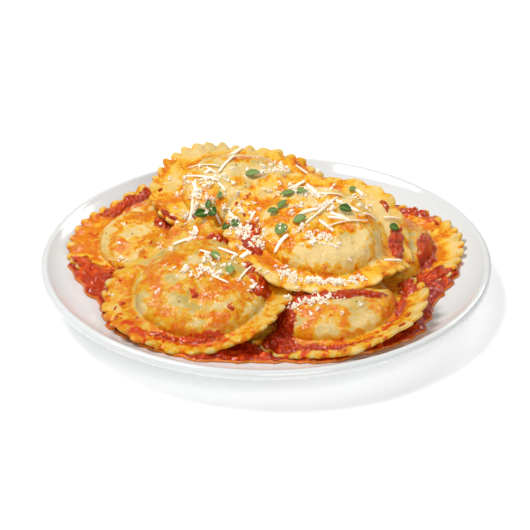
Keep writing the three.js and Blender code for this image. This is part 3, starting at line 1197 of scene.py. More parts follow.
def field_body(top: Array, bottom: Array, cell: Array, depth: Array, dark: Array) -> Shell:
    """Close the chosen cells between two skins into bodies with side walls.

    Args:
        top: Points of the upper skin, of shape (rows, columns, 3).
        bottom: Points of the lower skin.
        cell: Which cells belong to the body.
        depth: Thickness over the rows and columns.
        dark: How much painted shade takes the place of the bright pulp.

    Returns:
        The closed shell, with masks of thin edges and thick middles.
    """
    rows, columns = depth.shape
    number = np.arange(rows * columns).reshape(rows, columns)
    i, j = np.nonzero(cell)
    quads = np.stack([number[i, j], number[i + 1, j], number[i + 1, j + 1], number[i, j + 1]], -1)
    padded = np.pad(cell, 1)
    sides = ((0, -1, 0, 1), (1, 0, 1, 2), (0, 1, 2, 3), (-1, 0, 3, 0))
    edges = np.concatenate([quads[~padded[i + 1 + di, j + 1 + dj]][:, [a, b]] for di, dj, a, b in sides])
    total = rows * columns
    faces = np.concatenate([
        quads,
        quads[:, ::-1] + total,
        np.stack([edges[:, 1], edges[:, 0], edges[:, 0] + total, edges[:, 1] + total], -1),
    ])
    used, packed = np.unique(faces, return_inverse=True)
    points = np.concatenate([top.reshape(-1, 3), bottom.reshape(-1, 3)])[used]
    both = np.concatenate([depth.ravel(), depth.ravel()])[used]
    shade = np.concatenate([dark.ravel(), dark.ravel()])[used]
    # Thick middles are pulp, less the painted shade.
    masks = {"dressing": mask_colour(0.9 * ramp(0.4, -0.05, both), 0.8 * ramp(0.0, 1.2, both) - shade)}
    return Shell(points, [packed.reshape(faces.shape)], masks).facing_out()


# ---------------------------------------------------------------- toppings


@dataclass(frozen=True)
class Strand:
    """A shred of cheese on a named raviolo: its middle, heading in degrees, length and bow."""

    node: str
    u: float
    v: float
    heading: float
    length: float
    bow: float = 0.5


class Topping:
    """Places things on the food, from positions on a raviolo's sheet."""

    def __init__(self, surface: FoodSurface, ravioli: list[Raviolo], seed: int) -> None:
        """Keep the height map, the ravioli and a fixed source of random draws.

        Args:
            surface: Height map of the food.
            ravioli: The ravioli.
            seed: Seed of the random draws.
        """
        self.surface = surface
        self.by_name = {r.node: r for r in ravioli}
        self.rng = np.random.default_rng(seed)

    def plan(self, node: str, u: Array, v: Array) -> tuple[Array, Array]:
        """Return the plan positions of sheet positions on a named raviolo.

        Args:
            node: Name of the raviolo.
            u: Distances east along the sheet.
            v: Distances north along the sheet.

        Returns:
            Plan positions east and north.
        """
        raviolo = self.by_name[node]
        u, v = np.atleast_1d(np.asarray(u, float)), np.atleast_1d(np.asarray(v, float))
        points = raviolo.sheet.lay(u, v, raviolo.top(u, v))
        return points[..., 0], points[..., 1]


class CheeseShreds(Topping):
    """Short flat shreds of hard cheese, each draped a little over what it lies on."""

    width = 1.5
    thickness = 0.65
    steps = 9

    def shell(self, strands: list[Strand]) -> Shell:
        """Return all the shreds.

        Each is a bar along an arc in plan. Its height is the parabola that fits the food under it best,
        raised towards the food's highest bump.

        Args:
            strands: The shreds.

        Returns:
            One shell of closed bars.
        """
        n = len(strands)
        place = [self.plan(s.node, s.u, s.v) for s in strands]
        cx = np.array([p[0][0] for p in place])[:, None]
        cy = np.array([p[1][0] for p in place])[:, None]
        heading = np.radians([s.heading for s in strands])[:, None]
        length = np.array([s.length for s in strands])[:, None]
        bow = np.array([s.bow for s in strands])[:, None]
        t = np.linspace(-0.5, 0.5, self.steps)[None, :]
        along, aside = t * length, bow * (1 - 4 * t * t) * length * 0.12
        x = cx + along * np.cos(heading) - aside * np.sin(heading)
        y = cy + along * np.sin(heading) + aside * np.cos(heading)
        food = self.surface.read(self.surface.height, x, y)
        power = np.vander(t[0], 3)
        fit = food @ np.linalg.pinv(power).T * np.array([0.5, 1, 1])
        smooth = fit @ power.T
        rise = np.max(food - smooth, axis=1, keepdims=True)
        z = smooth + 0.6 * rise + 0.1
        tip = 1 - 0.35 * np.abs(2 * t) ** 4 * self.rng.uniform(0.4, 1.4, (n, 1))
        half = 0.5 * self.width * self.rng.uniform(0.7, 1.25, (n, 1)) * tip
        thick = self.thickness * self.rng.uniform(0.8, 1.3, (n, 1))
        roll = self.rng.uniform(-0.5, 0.5, (n, 1))
        across = np.linspace(-1, 1, 3)[None, None, :]
        sx = x[..., None] - np.sin(heading)[..., None] * half[..., None] * across
        sy = y[..., None] + np.cos(heading)[..., None] * half[..., None] * across
        sz = z[..., None] + roll[..., None] * half[..., None] * across
        jitter = self.rng.normal(0, 0.035, (3, n, self.steps, 3))
        bottom = np.stack([sx + jitter[0], sy + jitter[1], sz], -1)
        crown = thick[..., None] * (1 - 0.12 * across**2)
        top = bottom + np.stack([0 * sx, 0 * sy, crown + 0 * sx + jitter[2]], -1)
        return closed_slabs(top, bottom)


@dataclass(frozen=True)
class Pinch:
    """A pinch of grated cheese or pepper on a named raviolo: middle, spread along and across, count."""

    node: str
    u: float
    v: float
    along: float
    across: float
    turn: float
    count: int


class Grains(Topping):
    """Many small uneven grains in pinches."""

    clump_size = 0.62
    cell = 1.1
    most_piled = 6
    pasta_reach = 43.5
    plate_reach = 92

    def scatter(self, pinches: list[Pinch], clump: int) -> tuple[Array, Array]:
        """Return plan positions of the grains.

        Args:
            pinches: Where the grains fall, each pinch thickest in its middle.
            clump: Grains that stick together on average; 1 for loose grains.

        Returns:
            Plan positions east and north.
        """
        xs, ys = [], []
        for pinch in pinches:
            clumps = max(8, pinch.count // clump)
            along = self.rng.normal(0, pinch.along, clumps)
            across = self.rng.normal(0, pinch.across, clumps)
            c, s = math.cos(math.radians(pinch.turn)), math.sin(math.radians(pinch.turn))
            pick = (clumps * self.rng.uniform(0, 1, pinch.count) ** 1.7).astype(int)
            spread = self.rng.normal(0, self.clump_size if clump > 1 else 0, (2, pinch.count))
            u = pinch.u + along[pick] * c - across[pick] * s + spread[0]
            v = pinch.v + along[pick] * s + across[pick] * c + spread[1]
            x, y = self.plan(pinch.node, u, v)
            on_food = (np.hypot(u, v) < self.pasta_reach) & (np.hypot(x, y) < self.plate_reach)
            xs.append(x[on_food])
            ys.append(y[on_food])
        return np.concatenate(xs), np.concatenate(ys)

    def shell(self, pinches: list[Pinch], small: float, large: float, pile: float, clump: int) -> Shell:
        """Return the grains as squashed, jittered eight-sided stones.

        Args:
            pinches: Where the grains fall.
            small: Smallest half size.
            large: Largest half size.
            pile: How far grains of a thick pinch pile up.
            clump: Grains that stick together on average.

        Returns:
            One shell of closed grains.
        """
        x, y = self.scatter(pinches, clump)
        n = len(x)
        size = small + (large - small) * self.rng.uniform(0, 1, n) ** 2.2
        crowd = np.zeros(n)
        bins = {}
        cells = zip((x / self.cell).astype(int).tolist(), (y / self.cell).astype(int).tolist())
        for k, key in enumerate(cells):
            crowd[k] = bins.get(key, 0)
            bins[key] = bins.get(key, 0) + 1
        piled = pile * np.minimum(crowd, self.most_piled)
        z = self.surface.read(self.surface.height, x, y) + 0.35 * size + piled
        ring = np.arange(4) * TAU / 4
        star = np.array([[0, 0, 1], *[[math.cos(a), math.sin(a), 0] for a in ring], [0, 0, -1]])
        faces = [[0, 1 + k, 1 + (k + 1) % 4] for k in range(4)]
        faces += [[5, 1 + (k + 1) % 4, 1 + k] for k in range(4)]
        turn = self.rng.uniform(0, TAU, n)
        stretch = self.rng.uniform(0.7, 1.5, (n, 1, 3)) * np.array([1, 1, 0.75])
        grain = star[None] * stretch * size[:, None, None] * self.rng.uniform(0.75, 1.25, (n, 6, 1))
        c, s = np.cos(turn)[:, None], np.sin(turn)[:, None]
        gx = grain[..., 0] * c - grain[..., 1] * s
        gy = grain[..., 0] * s + grain[..., 1] * c
        tilt = self.rng.normal(0, 0.5, (n, 2))
        gz = grain[..., 2] + gx * tilt[:, :1] + gy * tilt[:, 1:]
        points = np.stack([gx + x[:, None], gy + y[:, None], gz + z[:, None]], -1).reshape(-1, 3)
        every = (np.array(faces)[None] + (6 * np.arange(n))[:, None, None]).reshape(-1, 3)
        return Shell(points, [every]).facing_out()


@dataclass(frozen=True)
class Leaf:
    """A thyme leaf on a named raviolo: its base, heading in degrees, length and rise of its tip."""

    node: str
    u: float
    v: float
    heading: float
    length: float = 6.0
    rise: float = 0.2
    dark: float = 0.5


class Thyme(Topping):
    """Thyme leaves, and the thin stems that join some of them."""

    rows = 9
    columns = 7
    thickness = 0.22
    stations = 12
    sides = 7

    def leaves(self, leaves: list[Leaf]) -> Shell:
        """Return the leaves: pointed ovals that fold up along the midrib and arch along it.

        Args:
            leaves: Where the leaves lie.

        Returns:
            One shell that holds all the leaves.
        """
        n = len(leaves)
        place = [self.plan(leaf.node, leaf.u, leaf.v) for leaf in leaves]
        bx = np.array([p[0][0] for p in place])[:, None, None]
        by = np.array([p[1][0] for p in place])[:, None, None]
        heading = np.radians([leaf.heading for leaf in leaves])[:, None, None]
        length = np.array([leaf.length for leaf in leaves])[:, None, None]
        rise = np.array([leaf.rise for leaf in leaves])[:, None, None]
        t = np.linspace(0, 1, self.rows)[None, :, None]
        s = np.linspace(-1, 1, self.columns)[None, None, :]
        half = 0.4 * length * np.sin(math.pi * np.clip(t, 0.012, 0.988) ** 0.85) ** 0.75
        along, aside = t * length, s * half
        x = bx + along * np.cos(heading) - aside * np.sin(heading)
        y = by + along * np.sin(heading) + aside * np.cos(heading)
        middle_x, middle_y = bx + 0.5 * length * np.cos(heading), by + 0.5 * length * np.sin(heading)
        ground = self.surface.read(self.surface.height, middle_x, middle_y)
        normal = self.surface.normals(middle_x, middle_y)
        east, north = (np.clip(normal[..., k] / normal[..., 2], -0.6, 0.6) for k in (0, 1))
        tilt = -(east * (x - middle_x) + north * (y - middle_y))
        local = self.surface.read(self.surface.height, x, y)
        plane = ground + tilt
        lift = np.max(local - plane, axis=(1, 2), keepdims=True).clip(0, 3)
        arch = 0.35 * np.sin(math.pi * t) + rise * along
        fold = 0.16 * length * np.abs(s) ** 1.3 * 0.5
        z = plane + lift + 0.25 + arch + fold
        bottom = np.stack([x, y, z], -1)
        top = bottom + np.array([0, 0, self.thickness])
        shell = closed_slabs(top, bottom)
        dark = np.array([leaf.dark for leaf in leaves])[:, None, None, None]
        across = np.broadcast_to(s[:, None], (n, 2, self.rows, self.columns))
        rib = np.exp(-((across / 0.16) ** 2))
        shade = np.broadcast_to(dark, across.shape)
        shell.masks = {"dressing": mask_colour(rib.ravel(), shade.ravel())}
        return shell

    def stems(
        self, paths: list[tuple[str, list[tuple[float, float, float]]]], thick: float = 0.32
    ) -> Shell:
        """Return tubes along paths given as positions on a raviolo and heights over the food.

        Args:
            paths: Raviolo name and points u, v and height of each stem.
            thick: Radius of a stem.

        Returns:
            One shell of closed tubes.
        """
        tubes = []
        for node, route in paths:
            u, v, up = np.array(route).T
            t = np.linspace(0, len(route) - 1, self.stations)
            u, v, up = (np.interp(t, np.arange(len(route)), w) for w in (u, v, up))
            x, y = self.plan(node, u, v)
            path = np.stack([x, y, self.surface.read(self.surface.height, x, y) + thick + up], -1)
            ahead = np.gradient(path, axis=0)
            ahead /= np.linalg.norm(ahead, axis=1, keepdims=True)
            side = np.cross(ahead, [0, 0, 1.0])
            side /= np.linalg.norm(side, axis=1, keepdims=True)
            upward = np.cross(side, ahead)
            turn = np.linspace(0, TAU, self.sides, endpoint=False)[None, :, None]
            taper = np.linspace(1, 0.7, self.stations)[:, None, None] * thick
            around = np.cos(turn) * side[:, None] + np.sin(turn) * upward[:, None]
            first = path[None, :1].repeat(self.sides, 1)
            last = path[None, -1:].repeat(self.sides, 1)
            tubes.append(lofted(np.concatenate([first, path[:, None] + taper * around, last]), {}))
        stems = joined(tubes)
        count = len(stems.points)
        stems.masks = {"dressing": mask_colour(np.ones(count), np.full(count, 0.3))}
        return stems


# ---------------------------------------------------------------- finishes


class Bench:
    """A short hand for laying out shader nodes in one tree."""

    def __init__(self, tree: bpy.types.NodeTree) -> None:
        """Work in this tree."""
        self.tree = tree

    def add(self, kind: str, inputs: dict | None = None, **settings: object) -> bpy.types.Node:
        """Add a node.

        Args:
            kind: Blender's node type.
            inputs: Values or output sockets for the node's inputs, by name or index.
            **settings: Properties of the node.

        Returns:
            The node.
        """
        node = self.tree.nodes.new(kind)
        for name, value in settings.items():
            setattr(node, name, value)
        for name, value in (inputs or {}).items():
            if isinstance(value, bpy.types.NodeSocket):
                self.tree.links.new(value, node.inputs[name])
            else:
                node.inputs[name].default_value = value
        return node

    def mix(self, factor: Feed, first: Feed, second: Feed) -> bpy.types.NodeSocket:
        """Return a blend of two colours.

        Args:
            factor: Share of the second colour.
            first: First colour or socket.
            second: Second colour or socket.

        Returns:
            The blended colour's socket.
        """
        node = self.add("ShaderNodeMix", data_type="RGBA", blend_type="MIX")
        for index, value in ((0, factor), (6, first), (7, second)):
            if isinstance(value, bpy.types.NodeSocket):
                self.tree.links.new(value, node.inputs[index])
            else:
                node.inputs[index].default_value = (*value, 1) if isinstance(value, tuple) else value
        return node.outputs[2]

    def math(self, operation: str, first: Feed, second: Feed) -> bpy.types.NodeSocket:
        """Return the result of a calculation on two numbers."""
        return self.add("ShaderNodeMath", {0: first, 1: second}, operation=operation).outputs[0]

    def between(
        self, value: Feed, low: float, high: float, out_low: float = 0, out_high: float = 1
    ) -> bpy.types.NodeSocket:
        """Return a smooth ramp of a number between two limits."""
        inputs = {"Value": value, "From Min": low, "From Max": high}
        inputs |= {"To Min": out_low, "To Max": out_high}
        return self.add("ShaderNodeMapRange", inputs, interpolation_type="SMOOTHSTEP").outputs[0]

    def masks(self) -> bpy.types.Node:
        """Return the piece's own three masks, as a node with Red, Green and Blue outputs."""
        read = self.add("ShaderNodeAttribute", attribute_name="dressing")
        return self.add("ShaderNodeSeparateColor", {0: read.outputs["Color"]})


def value_group(
    name: str, inputs: dict[str, float], outputs: tuple[str, ...]
) -> tuple[bpy.types.NodeTree, Bench]:
    """Start a node group with float inputs and float outputs.

    Args:
        name: Name of the group.
        inputs: Input names with their default values.
        outputs: Output names.

    Returns:
        The group and a bench on it.
    """
    tree = bpy.data.node_groups.new(name, "ShaderNodeTree")
    for socket, value in inputs.items():
        made = tree.interface.new_socket(socket, in_out="INPUT", socket_type="NodeSocketFloat")
        made.default_value = value
    for socket in outputs:
        tree.interface.new_socket(socket, in_out="OUTPUT", socket_type="NodeSocketFloat")
    return tree, Bench(tree)


def speckle_group() -> bpy.types.NodeTree:
    """Return the group that scatters soft spots: noise at a scale, cut at a level with a soft edge.

    Returns:
        The node group, with a mask and the plain noise as outputs.
    """
    inputs = {"Scale": 400, "Level": 0.6, "Softness": 0.06, "Detail": 3}
    tree, bench = value_group("Speckle", inputs, ("Mask", "Relief"))
    into, out = bench.add("NodeGroupInput"), bench.add("NodeGroupOutput")
    where = bench.add("ShaderNodeTexCoord").outputs["Object"]
    noise = bench.add(
        "ShaderNodeTexNoise",
        {"Vector": where, "Scale": into.outputs["Scale"], "Detail": into.outputs["Detail"], "Roughness": 0.6},
    ).outputs[0]
    high = bench.math("ADD", into.outputs["Level"], into.outputs["Softness"])
    cut = bench.add(
        "ShaderNodeMapRange", {"Value": noise, "From Min": into.outputs["Level"], "From Max": high}
    ).outputs[0]
    tree.links.new(cut, out.inputs["Mask"])
    tree.links.new(noise, out.inputs["Relief"])
    return tree


def place_group(bench: Bench, tree: bpy.types.NodeTree, **values: float) -> bpy.types.Node:
    """Place a node group with its own input values.

    Args:
        bench: Bench of the material.
        tree: The group.
        **values: Input values by name.

    Returns:
        The group's node.
    """
    node = bench.add("ShaderNodeGroup", node_tree=tree)
    for name, value in values.items():
        node.inputs[name].default_value = value
    return node


@dataclass(frozen=True)
class Finish:
    """What every finish has: a name, and constants that go straight on the shader's sockets."""

    name: str
    specular: float = 0.5
    coat: float = 0.0
    coat_roughness: float = 0.1
    scatter: float = 0.0
    scatter_radius: Colour = (1.0, 0.4, 0.2)
    scatter_scale: float = 0.001

    def start(self) -> tuple[bpy.types.Material, Bench, bpy.types.Node]:
        """Make the material with its Principled shader and constants.

        Returns:
            The material, a bench on its nodes, and the shader node.
        """
        material = bpy.data.materials.new(self.name)
        material.use_nodes = True
        bench = Bench(material.node_tree)
        shader = material.node_tree.nodes["Principled BSDF"]
        constants = {
            "Specular IOR Level": self.specular,
            "Coat Weight": self.coat,
            "Coat Roughness": self.coat_roughness,
            "Subsurface Weight": self.scatter,
            "Subsurface Radius": self.scatter_radius,
            "Subsurface Scale": self.scatter_scale,
        }
        for socket, value in constants.items():
            shader.inputs[socket].default_value = value
        return material, bench, shader

    def feed(self, bench: Bench, shader: bpy.types.Node, **sockets: bpy.types.NodeSocket) -> None:
        """Link outputs to the shader's inputs, named with underscores for spaces."""
        for name, socket in sockets.items():
            bench.tree.links.new(socket, shader.inputs[name.replace("_", " ")])

    def bump(
        self, bench: Bench, height: Feed, strength: float, distance: float
    ) -> bpy.types.NodeSocket:
        """Return a bumped normal from a height."""
        inputs = {"Height": height, "Strength": strength, "Distance": distance}
        return bench.add("ShaderNodeBump", inputs).outputs[0]


@dataclass(frozen=True)
class PastaFinish(Finish):
    """Cooked egg pasta: cream over the filling, gold on the flange, stained by oil and sauce."""

    cream: Colour = (0.85, 0.64, 0.29)
    gold: Colour = (0.87, 0.54, 0.07)
    filling: Colour = (0.55, 0.41, 0.12)
    honey: Colour = (0.84, 0.455, 0.022)
    amber: Colour = (0.82, 0.32, 0.002)
    orange: Colour = (0.70, 0.15, 0.001)
    red: Colour = (0.62, 0.05, 0.001)
    green: float = 0.3
    tone: float = 1.0

    def toned(self, colour: Colour) -> Colour:
        """Return a colour darkened by this raviolo's tone: soaked pasta is darker."""
        return tuple(self.tone * channel for channel in colour)

    def build(self, speckle: bpy.types.NodeTree) -> bpy.types.Material:
        """Return the material: colours blended by the piece's masks, broken up by fine noise.

        Args:
            speckle: The group that scatters soft spots.

        Returns:
            The material.
        """
        material, bench, shader = self.start()
        masks = bench.masks()
        fine = place_group(bench, speckle, Scale=420, Level=0.42, Softness=0.3)
        spots = place_group(bench, speckle, Scale=950, Level=0.6, Softness=0.08)
        broad = place_group(bench, speckle, Scale=95, Level=0.38, Softness=0.35)
        grain = bench.math("SUBTRACT", fine.outputs["Relief"], 0.5)
        cloud = bench.math("SUBTRACT", broad.outputs["Relief"], 0.5)
        dust = bench.math("SUBTRACT", spots.outputs["Relief"], 0.5)
        wobble = bench.math("ADD", bench.math("MULTIPLY", grain, 1.1), bench.math("MULTIPLY", cloud, 0.7))
        wobble = bench.math("ADD", wobble, bench.math("MULTIPLY", dust, 0.7))
        skin = bench.mix(masks.outputs["Blue"], self.toned(self.gold), self.toned(self.cream))
        tint = bench.math("MULTIPLY", masks.outputs["Blue"], broad.outputs["Mask"])
        skin = bench.mix(bench.math("MULTIPLY", tint, self.green), skin, self.toned(self.filling))
        film = bench.between(bench.math("ADD", masks.outputs["Green"], wobble), 0.2, 0.85)
        stain = bench.math("ADD", masks.outputs["Red"], wobble)
        stain = bench.math("ADD", stain, bench.math("MULTIPLY", film, 0.6))
        mottle = bench.between(masks.outputs["Blue"], 0, 1, 0.5, 0.22)
        mottle = bench.math("MULTIPLY", fine.outputs["Mask"], mottle)
        skin = bench.mix(mottle, skin, self.toned(self.honey))
        skin = bench.mix(bench.between(stain, 0.14, 0.54), skin, self.toned(self.honey))
        skin = bench.mix(bench.between(stain, 0.38, 0.9), skin, self.toned(self.amber))
        skin = bench.mix(bench.between(stain, 0.62, 1.2), skin, self.orange)
        skin = bench.mix(bench.math("MULTIPLY", spots.outputs["Mask"], 0.15), skin, self.orange)
        skin = bench.mix(film, skin, self.red)
        rough = bench.between(bench.math("ADD", stain, film), 0.2, 1.1, 0.42, 0.22)
        pores = bench.math("MULTIPLY", spots.outputs["Relief"], 0.6)
        pores = bench.math("ADD", fine.outputs["Relief"], pores)
        normal = self.bump(bench, pores, 0.8, 0.0009)
        wet = bench.between(bench.math("ADD", stain, film), 0.1, 0.9, 0.03, 0.48)
        puddles = place_group(bench, speckle, Scale=560, Detail=0.7)
        oil = self.bump(bench, puddles.outputs["Relief"], 1.0, 0.0009)
        self.feed(bench, shader, Base_Color=skin, Roughness=rough, Normal=normal)
        self.feed(bench, shader, Coat_Weight=wet, Coat_Normal=oil)
        return material


@dataclass(frozen=True)
class SauceFinish(Finish):
    """Cooked tomato: deep red between the lumps, partly painted shade in the hollows, brighter pulp, and
    orange oil where it is thin.
    """

    deep: Colour = (0.30, 0.009, 0.0006)
    pulp: Colour = (0.82, 0.09, 0.004)
    oil: Colour = (0.84, 0.24, 0.010)

    def build(self, speckle: bpy.types.NodeTree) -> bpy.types.Material:
        """Return the material: deep and pulp colours by the lumps, oil by the thin mask.

        Args:
            speckle: The group that scatters soft spots.

        Returns:
            The material.
        """
        material, bench, shader = self.start()
        masks = bench.masks()
        seeds = place_group(bench, speckle, Scale=900, Level=0.5, Softness=0.12)
        grainy = place_group(bench, speckle, Scale=300, Level=0.45, Softness=0.2)
        broad = place_group(bench, speckle, Scale=110, Level=0.42, Softness=0.2)
        # The green mask carries pulp; where it is low, deep red stands partly for the sauce's own colour and
        # partly for painted shade.
        body = bench.mix(masks.outputs["Green"], self.deep, self.pulp)
        body = bench.mix(bench.math("MULTIPLY", seeds.outputs["Mask"], 0.35), body, self.pulp)
        body = bench.mix(bench.math("MULTIPLY", grainy.outputs["Mask"], 0.2), body, self.deep)
        body = bench.mix(bench.math("MULTIPLY", broad.outputs["Mask"], 0.5), body, self.deep)
        body = bench.mix(bench.between(masks.outputs["Red"], 0.25, 1.0, 0, 0.75), body, self.oil)
        rough = bench.between(grainy.outputs["Relief"], 0.3, 0.7, 0.06, 0.16)
        relief = bench.math("MULTIPLY", seeds.outputs["Relief"], 0.5)
        relief = bench.math("ADD", grainy.outputs["Relief"], relief)
        normal = self.bump(bench, relief, 1.0, 0.0012)
        puddles = place_group(bench, speckle, Scale=380, Detail=0.8)
        oil = self.bump(bench, puddles.outputs["Relief"], 1.0, 0.0013)
        self.feed(bench, shader, Base_Color=body, Roughness=rough, Normal=normal, Coat_Normal=oil)
        return material


@dataclass(frozen=True)
class GlazeFinish(Finish):
    """White glaze over stoneware, with a very faint unevenness."""

    white: Colour = (0.72, 0.745, 0.755)
    warm: Colour = (0.71, 0.725, 0.72)

    def build(self, speckle: bpy.types.NodeTree) -> bpy.types.Material:
        """Return the material: two near whites mixed in broad patches, and a slight ripple.

        Args:
            speckle: The group that scatters soft spots.

        Returns:
            The material.
        """
        material, bench, shader = self.start()
        cloud = place_group(bench, speckle, Scale=18, Level=0.35, Softness=0.3)
        fine = place_group(bench, speckle, Scale=60, Level=0.5, Softness=0.2)
        colour = bench.mix(cloud.outputs["Mask"], self.white, self.warm)
        rough = bench.between(fine.outputs["Relief"], 0.3, 0.7, 0.09, 0.14)
        normal = self.bump(bench, cloud.outputs["Relief"], 0.05, 0.0005)
        self.feed(bench, shader, Base_Color=colour, Roughness=rough, Normal=normal)
        return material


@dataclass(frozen=True)
class CheeseFinish(Finish):
    """Hard cheese: pale cream with warmer patches where oil has soaked in, and a faint painted glow."""

    pale: Colour = (0.96, 0.88, 0.74)
    soaked: Colour = (0.95, 0.68, 0.46)
    painted_glow: float = 0.12

    def build(self, speckle: bpy.types.NodeTree) -> bpy.types.Material:
        """Return the material: pale and soaked colours by noise, a dry, matt grain and a faint painted glow.

        Args:
            speckle: The group that scatters soft spots.

        Returns:
            The material.
        """
        material, bench, shader = self.start()
        patch = place_group(bench, speckle, Scale=150, Level=0.5, Softness=0.18)
        grain = place_group(bench, speckle, Scale=1500, Level=0.5, Softness=0.2)
        colour = bench.mix(bench.math("MULTIPLY", patch.outputs["Mask"], 0.45), self.pale, self.soaked)
        rough = bench.between(grain.outputs["Relief"], 0.3, 0.7, 0.45, 0.7)
        normal = self.bump(bench, grain.outputs["Relief"], 0.3, 0.0003)
        # Painted glow: the cheese gives off a little light of its own colour, so that the small grains stay
        # bright.
        shader.inputs["Emission Strength"].default_value = self.painted_glow
        self.feed(bench, shader, Base_Color=colour, Emission_Color=colour, Roughness=rough, Normal=normal)
        return material


@dataclass(frozen=True)
class LeafFinish(Finish):
    """Thyme: dark or blue-green blades with a lighter midrib."""

    dark: Colour = (0.022, 0.085, 0.003)
    light: Colour = (0.27, 0.38, 0.11)
    rib: Colour = (0.36, 0.46, 0.10)

    def build(self, speckle: bpy.types.NodeTree) -> bpy.types.Material:
        """Return the material: blade shade by the green mask, midrib by the red mask.

        Args:
            speckle: The group that scatters soft spots.

        Returns:
            The material.
        """
        material, bench, shader = self.start()
        masks = bench.masks()
        grain = place_group(bench, speckle, Scale=900, Level=0.45, Softness=0.3)
        colour = bench.mix(masks.outputs["Green"], self.light, self.dark)
        colour = bench.mix(bench.math("MULTIPLY", grain.outputs["Mask"], 0.1), colour, self.light)
        colour = bench.mix(bench.math("MULTIPLY", masks.outputs["Red"], 0.35), colour, self.rib)
        rough = bench.between(grain.outputs["Relief"], 0.3, 0.7, 0.35, 0.55)
        normal = self.bump(bench, grain.outputs["Relief"], 0.25, 0.0003)
        self.feed(bench, shader, Base_Color=colour, Roughness=rough, Normal=normal)
        return material


@dataclass(frozen=True)
class PepperFinish(Finish):
    """Cracked black pepper: near black with brown faces."""

    black: Colour = (0.018, 0.012, 0.009)
    brown: Colour = (0.13, 0.05, 0.02)

    def build(self, speckle: bpy.types.NodeTree) -> bpy.types.Material:
        """Return the material: black and brown in specks.

        Args:
            speckle: The group that scatters soft spots.

        Returns:
            The material.
        """
        material, bench, shader = self.start()
        speck = place_group(bench, speckle, Scale=1200, Level=0.5, Softness=0.1)
        colour = bench.mix(speck.outputs["Mask"], self.black, self.brown)
        rough = bench.between(speck.outputs["Relief"], 0.3, 0.7, 0.45, 0.7)
        self.feed(bench, shader, Base_Color=colour, Roughness=rough)
        return material


# ---------------------------------------------------------------- the stage


@dataclass(frozen=True)
class Stage:
    """A pale floor, soft lights and the camera."""

    floor_half: float = 3.0
    floor_colour: Colour = (0.93, 0.93, 0.93)
    floor_glow: float = 0.26
    sky_strength: float = 0.14
    sensor: float = 36
    elevation: float = 29.0
    lens: float = 150.0
    view_width: float = 0.2477
    aim: tuple[float, float, float] = (-0.0005, 0.0, 0.013)

    def floor(self) -> None:
        """Lay the floor just under the plate's foot."""
        h = self.floor_half
        mesh = bpy.data.meshes.new("floor")
        mesh.from_pydata([(-h, -h, 0), (h, -h, 0), (h, h, 0), (-h, h, 0)], [], [(0, 1, 2, 3)])
        material = bpy.data.materials.new("floor_white")
        material.use_nodes = True
        shader = material.node_tree.nodes["Principled BSDF"]
        shader.inputs["Base Color"].default_value = (*self.floor_colour, 1)
        shader.inputs["Roughness"].default_value = 0.9
        shader.inputs["Specular IOR Level"].default_value = 0.1
        shader.inputs["Emission Color"].default_value = (1, 1, 1, 1)
        shader.inputs["Emission Strength"].default_value = self.floor_glow
        mesh.materials.append(material)
        floor = bpy.data.objects.new("floor", mesh)
        bpy.context.scene.collection.objects.link(floor)

    def lamp(
        self, name: str, place: tuple[float, float, float], side: float, watts: float, warmth: Colour
    ) -> None:
        """Hang a square soft light that faces the food.

        Args:
            name: Name of the light.
            place: Position in metres.
            side: Side of the square in metres.
            watts: Power.
            warmth: Colour of the light.
        """
        data = bpy.data.lights.new(name, "AREA")
        data.shape = "SQUARE"
        data.size = side
        data.energy = watts
        data.color = warmth
        lamp = bpy.data.objects.new(name, data)
        bpy.context.scene.collection.objects.link(lamp)
        back = np.array(place) / np.linalg.norm(place)
        lamp.location = place
        lamp.rotation_euler = (math.acos(back[2]), 0, math.atan2(back[0], -back[1]))

    def light(self) -> None:
        """Set the sky and the three soft lights."""
        world = bpy.data.worlds.new("sky")
        world.use_nodes = True
        sky = world.node_tree.nodes["Background"]
        sky.inputs["Color"].default_value = (1, 1, 1, 1)
        sky.inputs["Strength"].default_value = self.sky_strength
        bpy.context.scene.world = world
        self.lamp("key", (-0.62, 0.2, 1.25), 0.55, 17.5, (1.0, 0.99, 0.97))
        self.lamp("front_fill", (0.3, -1.2, 0.8), 0.7, 9.5, (1.0, 0.99, 0.98))
        self.lamp("back_rim", (0.7, 1.0, 0.9), 0.4, 4.5, (1.0, 1.0, 1.0))

    def camera(self) -> None:
        """Set the camera at the serving's front, looking down at it."""
        data = bpy.data.cameras.new("camera")
        data.lens = self.lens
        data.sensor_width = self.sensor
        distance = self.view_width * self.lens / data.sensor_width
        tilt = math.radians(self.elevation)
        camera = bpy.data.objects.new("camera", data)
        camera.location = (
            self.aim[0],
            self.aim[1] - distance * math.cos(tilt),
            self.aim[2] + distance * math.sin(tilt),
        )
        camera.rotation_euler = (math.pi / 2 - tilt, 0, 0)
        bpy.context.scene.collection.objects.link(camera)
        bpy.context.scene.camera = camera
        bpy.context.scene.view_settings.view_transform = "Standard"


# ---------------------------------------------------------------- putting it together


def strewn(kind: type, node: str, rows: tuple[tuple, ...]) -> tuple:
    """Return one thing of a kind on the named raviolo for each row of its values."""
    return tuple(kind(node, *row) for row in rows)


